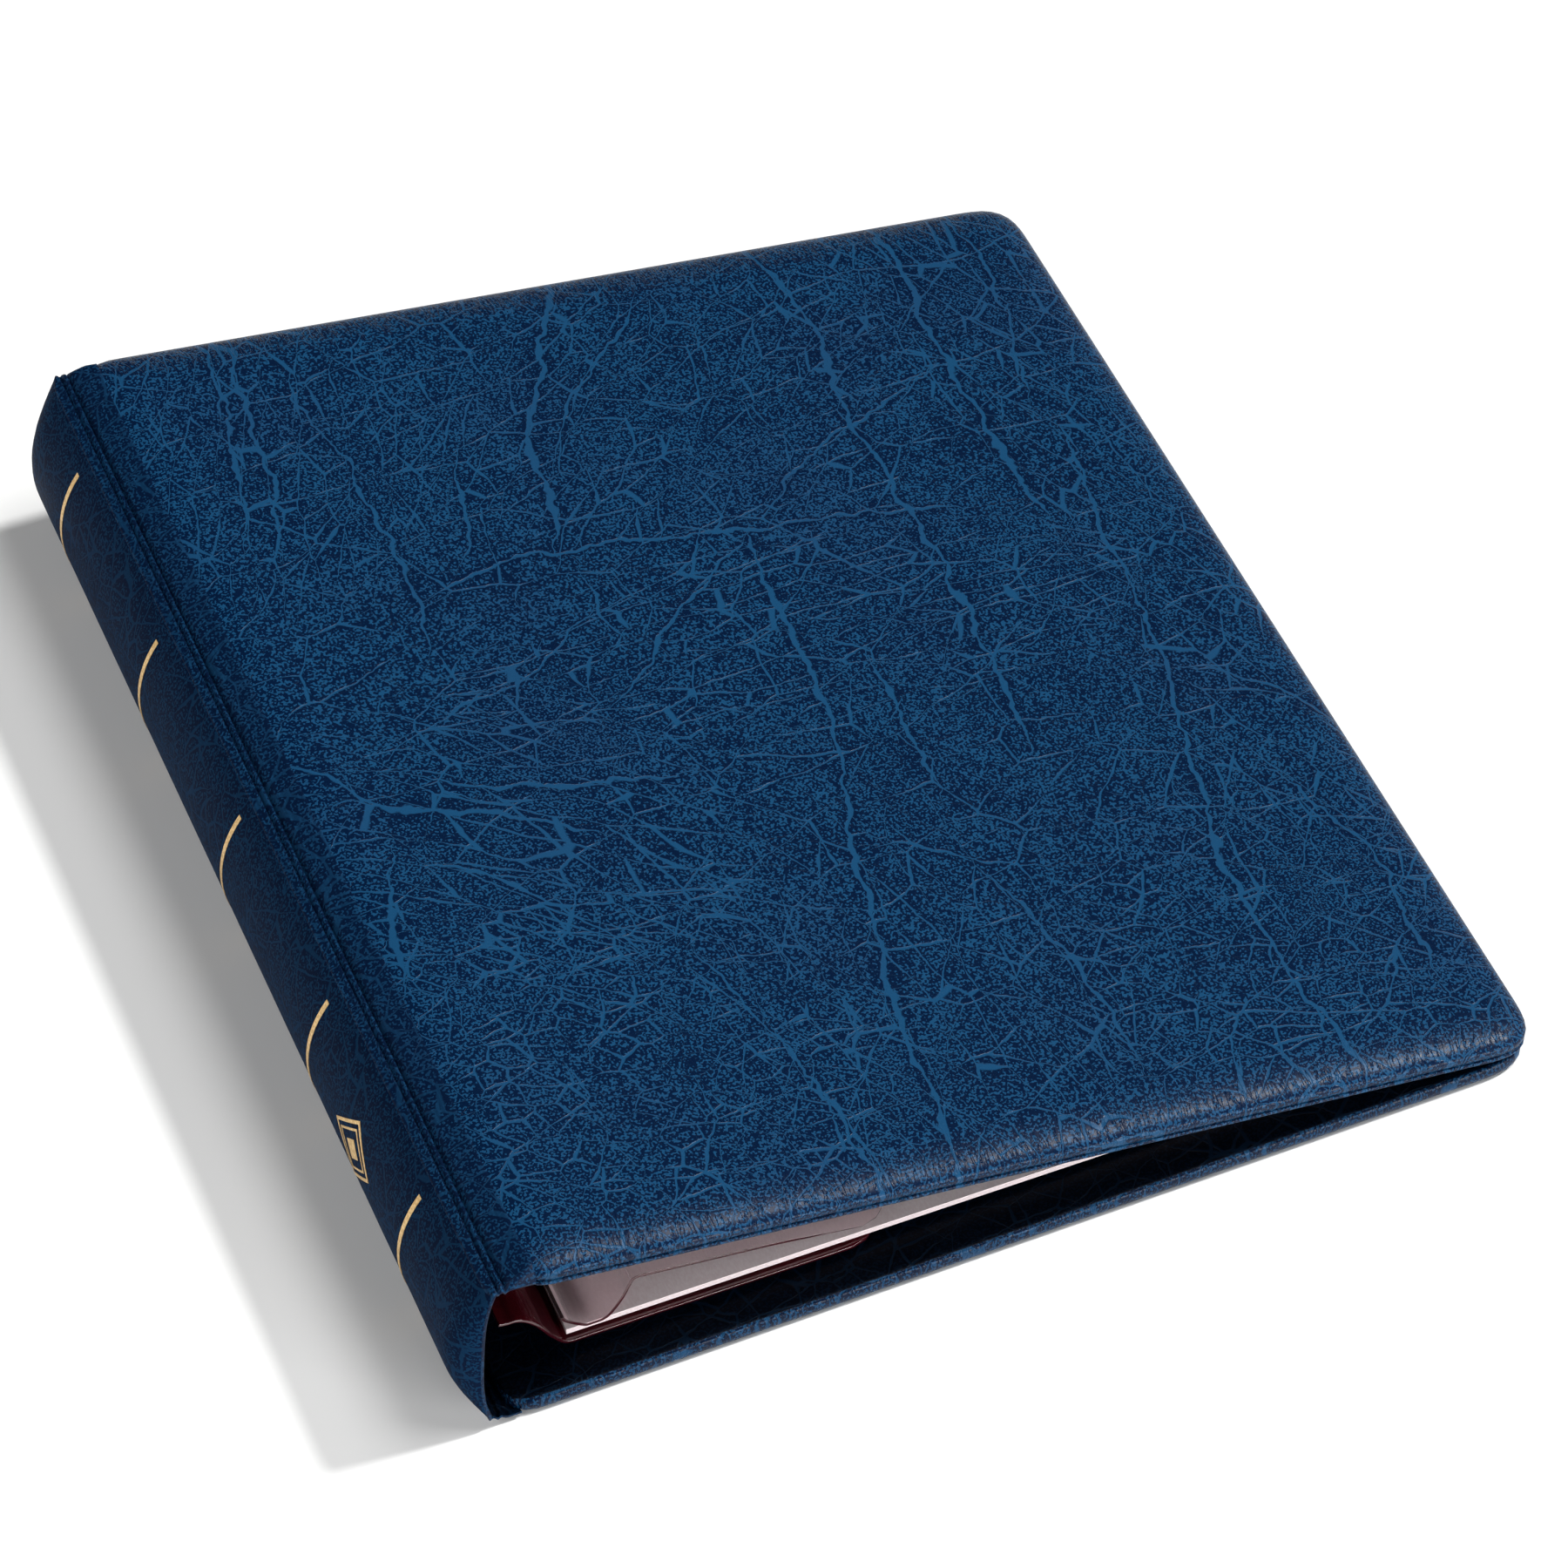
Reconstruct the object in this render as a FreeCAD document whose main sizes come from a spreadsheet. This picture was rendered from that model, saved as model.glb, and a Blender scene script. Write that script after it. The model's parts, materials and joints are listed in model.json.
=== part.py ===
import FreeCAD, Part
import math
import os

import Sketcher

# A padded ring album for stamp leaves, lying closed on its back cover.
# Row frame: origin at the middle of the footprint on the table, +X towards the fore-edge,
# +Y towards the head of the album, +Z up. Local frames used below:
#   cover frame  - origin on the hinge axis, X towards the fore-edge, Z out of the album;
#   spine frame  - origin on the back hinge axis, X into the album, Z up along the spine;
#   leaf frame   - origin on the common centre line of the rings.
# Local Y always runs from the foot of the album (0) to its head (album_height).

V = FreeCAD.Vector
AXIS_X = V(1, 0, 0)
AXIS_Y = V(0, 1, 0)

SIZES = {
    # outline
    "album_height": 317.0,
    "origin_to_back_hinge": 131.21,
    "corner_radius": 9.0,
    "hinge_corner_radius": 1.5,
    # covers
    "front_reach": 270.05,
    "front_thickness": 6.6,
    "front_outer_level": 4.4,
    "front_edge_radius": 3.0,
    "front_tilt": 9.36,
    "back_reach": 269.5,
    "back_thickness": 4.5,
    "back_hinge_height": 2.0,
    "back_edge_radius": 2.0,
    "pad_start": 6.0,
    "hinge_gap": 1.4,
    "web_thickness": 1.2,
    "skin_thickness": 0.7,
    "lining_thickness": 0.6,
    "board_thickness": 2.0,
    "board_margin": 3.2,
    "board_corner": 6.0,
    # spine
    "hinge_run": 3.8,
    "hinge_rise": 49.05,
    "dome_radius": 36.0,
    "dome_height": 10.0,
    "shoulder_radius": 2.6,
    "shoulder_edge": 1.6,
    "spine_inner_level": -2.3,
    "spine_lining_thickness": 0.5,
    "spine_board_thickness": 1.8,
    "spine_board_width": 34.6,
    "tray_clearance": 0.4,
    "tray_draft": 0.2,
    "weld_level": 0.25,
    "bead_radius": 0.9,
    "strip_start": 0.4,
    "strip_clearance": 0.02,
    "strip_outer_level": 0.6,
    "strip_thickness": 0.9,
    "gold_pitch": 62.4,
    "gold_shift": 2.3,
    "gold_top": 6.0,
    "gold_width": 1.5,
    "gold_thickness": 0.12,
    "gold_glue": 0.01,
    "ornament_height": 22.0,
    "ornament_width": 19.0,
    "ornament_raise": 2.0,
    # ring mechanism
    "ring_height": 22.1,
    "ring_radius": 16.0,
    "ring_wire": 1.2,
    "ring_pitch": 80.0,
    "ring_split": 76.0,
    "split_gap": 1.0,
    "foot_offset": 5.5,
    "rod_level": 1.2,
    "rod_radius": 1.2,
    "rod_end": 0.6,
    "tube_radius": 2.2,
    "tube_clearance": 0.05,
    "tube_start": 36.2,
    "plate_width": 23.0,
    "plate_start": 26.0,
    "plate_thickness": 1.0,
    "ear_start": 27.0,
    "ear_thickness": 1.2,
    "ear_width": 6.4,
    "ear_top": 3.7,
    "rivet_radius": 1.8,
    "rivet_head": 3.1,
    "rivet_head_height": 0.9,
    "rivet_offset": 7.2,
    "rivet_reach": 78.5,
    "lever_start": 42.0,
    "lever_width": 8.0,
    "lever_half_thickness": 1.0,
    "lever_tip_angle": 112.0,
    "lever_lip": 1.8,
    "lever_lip_angle": 5.0,
    "wire_end_angle": 175.0,
    "spring_wire": 0.3,
    "spring_radius": 1.7,
    "spring_turn_pitch": 0.9,
    "spring_length": 6.3,
    "spring_clearance": 0.5,
    # leaves and sheet lifters
    "leaf_tilt": 1.0,
    "leaf_left": 4.7,
    "leaf_width": 233.0,
    "leaf_foot": 12.0,
    "leaf_length": 293.0,
    "leaf_thickness": 0.5,
    "leaf_step": 0.6,
    "leaf_stack_level": -13.8,
    "hole_width": 4.4,
    "hole_clearance": 0.35,
    "lifter_thickness": 1.0,
    "lifter_foot": 10.5,
    "lifter_length": 296.0,
    "lifter_slot_width": 4.6,
    "lifter_corner": 8.0,
}

document = FreeCAD.newDocument("stamp_album")
sheet = document.addObject("Spreadsheet::Sheet", "Sizes")
for row, (word, value) in enumerate(SIZES.items(), start=1):
    sheet.set(f"A{row}", word)
    sheet.set(f"B{row}", str(value))
    sheet.setAlias(f"B{row}", word)
document.recompute()

# Derived sizes, all worked out from the sheet.
HEIGHT = sheet.album_height
SPINE_LEAN = math.degrees(math.atan2(sheet.hinge_run, sheet.hinge_rise))
SPINE_CHORD = math.hypot(sheet.hinge_run, sheet.hinge_rise)
RING_LEVEL = sheet.rod_level + sheet.ring_radius
RING_STATIONS = [HEIGHT / 2 + (index - 1.5) * sheet.ring_pitch for index in range(4)]
PLATE_LEVEL = sheet.spine_inner_level + sheet.plate_thickness
BOARD_OUTER_LEVEL = sheet.spine_inner_level - sheet.spine_lining_thickness - sheet.spine_board_thickness

BACK_HINGE = V(-sheet.origin_to_back_hinge, -HEIGHT / 2, sheet.back_hinge_height)
FRONT_HINGE = BACK_HINGE + V(sheet.hinge_run, 0, sheet.hinge_rise)
SPINE_FRAME = FreeCAD.Placement(BACK_HINGE, FreeCAD.Rotation(AXIS_Y, SPINE_LEAN))
FRONT_FRAME = FreeCAD.Placement(FRONT_HINGE, FreeCAD.Rotation(AXIS_Y, sheet.front_tilt))
BACK_FRAME = FreeCAD.Placement(BACK_HINGE + V(0, HEIGHT, 0), FreeCAD.Rotation(AXIS_X, 180))
RING_CENTRE = SPINE_FRAME.multVec(V(RING_LEVEL, 0, sheet.ring_height))
LEAF_FRAME = FreeCAD.Placement(RING_CENTRE, FreeCAD.Rotation(AXIS_Y, sheet.leaf_tilt))
LIFTER_FRAME = FreeCAD.Placement(RING_CENTRE, FreeCAD.Rotation())

PARTS = []


def keep(item, label, frame=None):
    """Names a finished sub-part and puts it in its place."""
    item.Label = label
    if frame is not None:
        item.Placement = frame.multiply(item.Placement)
    PARTS.append(item)
    return item


def bind(item, **expressions):
    """Ties properties of an object to the cells of the sheet."""
    for name, expression in expressions.items():
        item.setExpression(name.replace("__", "."), expression)


def box(name, size, corner):
    """A block; its size and its low corner are expressions on the sheet."""
    item = document.addObject("Part::Box", name)
    bind(item, Length=size[0], Width=size[1], Height=size[2])
    bind(item, Placement__Base__x=corner[0], Placement__Base__y=corner[1], Placement__Base__z=corner[2])
    return item


def cylinder_y(name, radius, low, high, x, z):
    """A round bar along Y from low to high; the radius is an expression."""
    item = document.addObject("Part::Cylinder", name)
    item.Placement = FreeCAD.Placement(V(x, high, z), FreeCAD.Rotation(AXIS_X, 90))
    item.Height = high - low
    bind(item, Radius=radius)
    return item


def cylinder_x(name, radius, low, high, y, z):
    """A round bar along X from low to high; the radius is an expression."""
    item = document.addObject("Part::Cylinder", name)
    item.Placement = FreeCAD.Placement(V(low, y, z), FreeCAD.Rotation(AXIS_Y, 90))
    item.Height = high - low
    bind(item, Radius=radius)
    return item


def cut(name, base, tool):
    item = document.addObject("Part::Cut", name)
    item.Base = base
    item.Tool = tool
    document.recompute()
    return item


def fuse(name, shapes):
    item = document.addObject("Part::MultiFuse", name)
    item.Shapes = shapes
    document.recompute()
    return item


def group(name, shapes):
    """Separate solids that share one node."""
    item = document.addObject("Part::Compound", name)
    item.Links = shapes
    document.recompute()
    return item


def edge_at(shape, test):
    return [number for number, edge in enumerate(shape.Edges, start=1) if test(edge)]


def is_upright(edge):
    ends = [vertex.Point for vertex in edge.Vertexes]
    return len(ends) == 2 and abs(ends[0].z - ends[1].z) > 0.1


def rounded_block(name, size, corner, far_radius, near_radius, rim_radius):
    """A block with round corners in plan and, where rim_radius isn't 0, a rounded top rim."""
    block = box(name + "_block", size, corner)
    document.recompute()
    bounds = block.Shape.BoundBox
    middle = bounds.Center.x

    def is_rim(edge):
        return all(abs(vertex.Point.z - bounds.ZMax) < 0.01 for vertex in edge.Vertexes)

    item = document.addObject("Part::Fillet", name)
    item.Base = block
    edges = []
    for number in edge_at(block.Shape, is_upright):
        radius = far_radius if block.Shape.Edges[number - 1].CenterOfMass.x > middle else near_radius
        edges.append((number, radius, radius))
    if rim_radius:
        edges += [(number, rim_radius, rim_radius) for number in edge_at(block.Shape, is_rim)]
    item.Edges = edges
    document.recompute()
    return item


def sketch_on(body, role, name):
    """A sketch on one of the body's own origin planes."""
    sketch = body.newObject("Sketcher::SketchObject", name)
    plane = next(item for item in body.Origin.OriginFeatures if item.Role == role)
    sketch.AttachmentSupport = [(plane, "")]
    sketch.MapMode = "FlatFace"
    return sketch


def rectangle(sketch, left, low, width, depth):
    """A rectangle held by four sizes, each an expression on the sheet."""
    first = sketch.GeometryCount
    corners = [V(0, 0, 0), V(10, 0, 0), V(10, 10, 0), V(0, 10, 0)]
    for index in range(4):
        sketch.addGeometry(Part.LineSegment(corners[index], corners[(index + 1) % 4]), False)
    for index in range(4):
        follower = first + (index + 1) % 4
        sketch.addConstraint(Sketcher.Constraint("Coincident", first + index, 2, follower, 1))
    for index, kind in enumerate(("Horizontal", "Vertical", "Horizontal", "Vertical")):
        sketch.addConstraint(Sketcher.Constraint(kind, first + index))
    sizes = (
        (Sketcher.Constraint("DistanceX", -1, 1, first, 1, 1.0), left),
        (Sketcher.Constraint("DistanceY", -1, 1, first, 1, 1.0), low),
        (Sketcher.Constraint("DistanceX", first, 1, first, 2, 10.0), width),
        (Sketcher.Constraint("DistanceY", first + 1, 1, first + 1, 2, 10.0), depth),
    )
    for constraint, expression in sizes:
        number = sketch.addConstraint(constraint)
        sketch.setExpression(f"Constraints[{number}]", expression)


def outline(sketch, curves):
    """A closed outline from curves laid end to end."""
    for curve in curves:
        sketch.addGeometry(curve, False)
    count = len(curves)
    joined = set()
    for index in range(count):
        follower = (index + 1) % count
        pairs = [(own, other) for own in (1, 2) for other in (1, 2)
                 if not {(index, own), (follower, other)} & joined]
        own, other = min(pairs, key=lambda pair: sketch.getPoint(index, pair[0]).distanceToPoint(
            sketch.getPoint(follower, pair[1])))
        joined |= {(index, own), (follower, other)}
        sketch.addConstraint(Sketcher.Constraint("Coincident", index, own, follower, other))


def pad(body, sketch, name, length, toward_plus):
    feature = body.newObject("PartDesign::Pad", name)
    feature.Profile = sketch
    feature.Reversed = toward_plus
    bind(feature, Length=length)
    document.recompute()
    return feature


def slab(name, left, low, width, depth, level, thickness, corner):
    """A flat sheet with round corners in plan, as a padded rectangle."""
    body = document.addObject("PartDesign::Body", name)
    sketch = sketch_on(body, "XY_Plane", name + "_sketch")
    rectangle(sketch, left, low, width, depth)
    sketch.setExpression("AttachmentOffset.Base.z", level)
    feature = pad(body, sketch, name + "_pad", thickness, False)
    if corner:
        rounding = body.newObject("PartDesign::Fillet", name + "_corners")
        names = [f"Edge{number}" for number in edge_at(feature.Shape, is_upright)]
        rounding.Base = (feature, names)
        bind(rounding, Radius=corner)
        document.recompute()
    return body


def prism(name, curves):
    """An outline in the local XZ plane, padded along the whole album height."""
    body = document.addObject("PartDesign::Body", name)
    sketch = sketch_on(body, "XZ_Plane", name + "_sketch")
    outline(sketch, curves)
    feature = pad(body, sketch, name + "_pad", "Sizes.album_height", True)
    if feature.Shape.BoundBox.YMin < -1:
        raise RuntimeError(name + " was padded the wrong way")
    return body


def line(start, end):
    return Part.LineSegment(V(start[0], start[1], 0), V(end[0], end[1], 0))


def arc(start, through, end):
    return Part.Arc(V(start[0], start[1], 0), V(through[0], through[1], 0), V(end[0], end[1], 0))


def cover(prefix, frame):
    """A cover: board and foam sealed between a leatherette skin and a lining."""
    reach = f"Sizes.{prefix}_reach"
    thickness = f"Sizes.{prefix}_thickness"
    outer = "Sizes.front_outer_level" if prefix == "front" else "Sizes.back_hinge_height"
    inner = f"({outer} - {thickness})"
    skin_base = f"{inner} + Sizes.lining_thickness"
    skin_height = f"{thickness} - Sizes.lining_thickness"
    corner = sheet.corner_radius
    near = sheet.hinge_corner_radius
    rim = getattr(sheet, prefix + "_edge_radius")
    wall = sheet.skin_thickness
    skin_wall = "Sizes.skin_thickness"

    shell = rounded_block(
        prefix + "_shell",
        (f"{reach} - Sizes.pad_start", "Sizes.album_height", skin_height),
        ("Sizes.pad_start", "0", skin_base),
        corner, near, rim,
    )

    def cavity(name):
        return rounded_block(
            prefix + name,
            (f"{reach} - Sizes.pad_start - 2 * {skin_wall}",
             f"Sizes.album_height - 2 * {skin_wall}", f"{skin_height} - {skin_wall}"),
            (f"Sizes.pad_start + {skin_wall}", skin_wall, skin_base),
            corner - wall, near - wall, rim - wall,
        )

    hollow_shell = cut(prefix + "_hollow_shell", shell, cavity("_cavity"))
    web = box(
        prefix + "_web",
        ("Sizes.pad_start - Sizes.hinge_gap", "Sizes.album_height", "Sizes.web_thickness"),
        ("Sizes.hinge_gap", "0", "-Sizes.web_thickness / 2"),
    )
    skin = fuse(prefix + "_skin", [hollow_shell, web])
    keep(skin, prefix + "_cover_skin", frame)

    margin = "Sizes.board_margin"
    board_size = (f"{reach} - Sizes.pad_start - 2 * {margin}", f"Sizes.album_height - 2 * {margin}")
    board_corner = (f"Sizes.pad_start + {margin}", margin)
    board = slab(prefix + "_board_body", board_corner[0], board_corner[1], board_size[0],
                 board_size[1], skin_base, "Sizes.board_thickness", "Sizes.board_corner")
    keep(board, prefix + "_cover_board", frame)

    room = rounded_block(prefix + "_board_space", (*board_size, "Sizes.board_thickness"),
                         (*board_corner, skin_base), sheet.board_corner, sheet.board_corner, 0)
    foam = cut(prefix + "_foam", cavity("_foam_block"), room)
    keep(foam, prefix + "_foam_pad", frame)

    lining = rounded_block(
        prefix + "_lining",
        (f"{reach} - Sizes.pad_start", "Sizes.album_height", "Sizes.lining_thickness"),
        ("Sizes.pad_start", "0", inner),
        corner, near, 0,
    )
    keep(lining, prefix + "_cover_lining", frame)


def dome_curves(inset):
    """The rounded outside of the spine, lower shoulder to upper shoulder, set in by inset."""
    middle = SPINE_CHORD / 2
    radius = sheet.dome_radius - inset
    centre = sheet.dome_radius - sheet.dome_height
    shoulder = sheet.shoulder_radius - inset
    shoulder_rise = middle - sheet.shoulder_edge - sheet.shoulder_radius
    reach = sheet.dome_radius - sheet.shoulder_radius
    shoulder_x = centre - math.sqrt(reach ** 2 - shoulder_rise ** 2)
    turn = math.asin(shoulder_rise / reach)

    def on_dome(angle):
        return (centre - radius * math.cos(angle), middle + radius * math.sin(angle))

    def on_shoulder(side, angle):
        return (shoulder_x - shoulder * math.cos(angle),
                middle + side * (shoulder_rise + shoulder * math.sin(angle)))

    half = math.radians(90)
    between = (turn + half) / 2
    low = arc(on_shoulder(-1, half), on_shoulder(-1, between), on_shoulder(-1, turn))
    top = arc(on_shoulder(1, turn), on_shoulder(1, between), on_shoulder(1, half))
    crown = arc(on_dome(-turn), on_dome(0), on_dome(turn))
    return [low, crown, top], on_shoulder(-1, half), on_shoulder(1, half)


def reversed_curves(curves):
    """The same arcs, run the other way."""
    result = []
    for curve in reversed(curves):
        half_way = curve.value((curve.FirstParameter + curve.LastParameter) / 2)
        result.append(Part.Arc(curve.EndPoint, half_way, curve.StartPoint))
    return result


def spine():
    middle = SPINE_CHORD / 2
    skin_wall = sheet.skin_thickness
    outer, outer_low, outer_high = dome_curves(0.0)
    inner, inner_low, inner_high = dome_curves(skin_wall)
    skin = prism("spine_skin_body", outer + [line(outer_high, inner_high)]
                 + reversed_curves(inner) + [line(inner_low, outer_low)])
    keep(skin, "spine_skin", SPINE_FRAME)

    # The lining is a shallow tray whose edges rise to the weld at each hinge.
    low_face = sheet.spine_inner_level
    wall = sheet.spine_lining_thickness
    weld = -sheet.weld_level
    tray_half = sheet.spine_board_width / 2 + sheet.tray_clearance
    floor_half = tray_half - sheet.tray_draft
    weld_half = middle - sheet.shoulder_edge - skin_wall
    tray_outer = [(weld, middle - weld_half), (low_face - wall, middle - tray_half),
                  (low_face - wall, middle + tray_half), (weld, middle + weld_half)]
    tray_inner = [(weld + wall, middle + weld_half), (low_face, middle + floor_half),
                  (low_face, middle - floor_half), (weld + wall, middle - weld_half)]
    points = tray_outer + tray_inner
    lining = prism("spine_lining_body", [line(start, end)
                                         for start, end in zip(points, points[1:] + points[:1])])

    board = spine_board("spine_board_body")
    foam_half = math.sqrt((sheet.dome_radius - skin_wall) ** 2
                          - (sheet.dome_radius - sheet.dome_height - BOARD_OUTER_LEVEL) ** 2)
    foam_low = (BOARD_OUTER_LEVEL, middle - foam_half)
    foam_high = (BOARD_OUTER_LEVEL, middle + foam_half)
    crown = (-sheet.dome_height + skin_wall, middle)
    foam = prism("spine_foam_body", [arc(foam_low, crown, foam_high), line(foam_high, foam_low)])
    keep(foam, "spine_foam_pad", SPINE_FRAME)

    for name, target in (("spine_board", board), ("spine_lining", lining)):
        holes = rivet_bars(name, 2 * BOARD_OUTER_LEVEL, -BOARD_OUTER_LEVEL)
        keep(cut(name + "_drilled", target, holes), name, SPINE_FRAME)

    # Hinge strips: the weld bead on each hinge axis with its web to the spine.
    for name, level in (("back_hinge_strip", 0.0), ("front_hinge_strip", SPINE_CHORD)):
        bead = cylinder_y(name + "_bead", "Sizes.bead_radius", 0.0, HEIGHT, 0.0, level)
        web_low = sheet.strip_start
        if level:
            web_low = SPINE_CHORD - sheet.shoulder_edge + sheet.strip_clearance
        web = document.addObject("Part::Box", name + "_web")
        web.Placement.Base = V(-sheet.strip_outer_level, 0, web_low)
        bind(web, Length="Sizes.strip_thickness", Width="Sizes.album_height",
             Height="Sizes.shoulder_edge - Sizes.strip_start - Sizes.strip_clearance")
        keep(fuse(name + "_solid", [bead, web]), name, SPINE_FRAME)


def spine_board(name):
    """The flat board that stiffens the spine."""
    middle = SPINE_CHORD / 2
    item = document.addObject("Part::Box", name)
    item.Placement.Base = V(BOARD_OUTER_LEVEL, sheet.board_margin, middle - sheet.spine_board_width / 2)
    bind(item, Length="Sizes.spine_board_thickness",
         Width="Sizes.album_height - 2 * Sizes.board_margin", Height="Sizes.spine_board_width")
    return item


def rivet_places():
    reach = sheet.rivet_reach
    return [(HEIGHT / 2 + side * reach, sheet.ring_height + edge * sheet.rivet_offset)
            for side in (-1, 1) for edge in (-1, 1)]


def rivet_bars(name, low, high):
    """The four rivet shanks as one group, to drill what they pass through."""
    bars = [cylinder_x(f"{name}_bar_{number}", "Sizes.rivet_radius", low, high, y, z)
            for number, (y, z) in enumerate(rivet_places())]
    return group(name + "_bars", bars)


def gold_foil():
    """Foil lines across the spine, and a plain lozenge ornament between the last two."""
    lift = sheet.gold_thickness
    outer, outer_low, outer_high = dome_curves(-lift)
    inner, inner_low, inner_high = dome_curves(-sheet.gold_glue)
    strip = prism("gold_strip", outer + [line(outer_high, inner_high)]
                  + reversed_curves(inner) + [line(inner_low, outer_low)])
    foil_end = sheet.shoulder_edge + sheet.strip_clearance
    middle_line = HEIGHT / 2 + sheet.gold_shift
    through = 2 * sheet.dome_height
    bands = []
    for number in range(5):
        centre = middle_line + (number - 2) * sheet.gold_pitch
        band = document.addObject("Part::Box", f"gold_window_{number}")
        band.Placement.Base = V(-through, centre - sheet.gold_width / 2, foil_end)
        band.Length = 2 * through
        band.Height = SPINE_CHORD - foil_end - sheet.gold_top
        bind(band, Width="Sizes.gold_width")
        bands.append(band)
    windows = group("gold_windows", bands)
    lines = document.addObject("Part::Common", "gold_lines_solid")
    lines.Base = strip
    lines.Tool = windows
    document.recompute()
    keep(lines, "gold_lines", SPINE_FRAME)

    # Two lozenge outlines, one inside the other, around a solid lozenge.
    centre = V(-through, middle_line - 1.5 * sheet.gold_pitch, SPINE_CHORD / 2 + sheet.ornament_raise)
    half_y = sheet.ornament_height / 2
    half_z = sheet.ornament_width / 2

    def lozenge(scale):
        corners = [V(0, half_y * scale, 0), V(0, 0, half_z * scale),
                   V(0, -half_y * scale, 0), V(0, 0, -half_z * scale)]
        ring = Part.makePolygon([centre + corner for corner in corners + corners[:1]])
        return Part.Face(ring).extrude(V(through, 0, 0))

    outer_frame = lozenge(1.0).cut(lozenge(0.88))
    inner_frame = lozenge(0.72).cut(lozenge(0.64))
    heart = lozenge(0.34)
    pieces = [solid.common(strip.Shape) for solid in (outer_frame, inner_frame, heart)]
    solids = [solid for piece in pieces for solid in piece.Solids]
    ornament = document.addObject("Part::Feature", "gold_ornament_solid")
    ornament.Shape = Part.makeCompound(solids)
    keep(ornament, "gold_ornament", SPINE_FRAME)


def ring_placement(station, start_angle):
    turn = FreeCAD.Rotation(AXIS_Y, -start_angle).multiply(FreeCAD.Rotation(AXIS_X, 90))
    return FreeCAD.Placement(V(RING_LEVEL, station, sheet.ring_height), turn)


def ring_arc(name, station, start_angle, end_angle):
    item = document.addObject("Part::Torus", name)
    bind(item, Radius1="Sizes.ring_radius", Radius2="Sizes.ring_wire")
    item.Angle1 = -180
    item.Angle2 = 180
    item.Angle3 = end_angle - start_angle
    item.Placement = ring_placement(station, start_angle)
    return item


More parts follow.
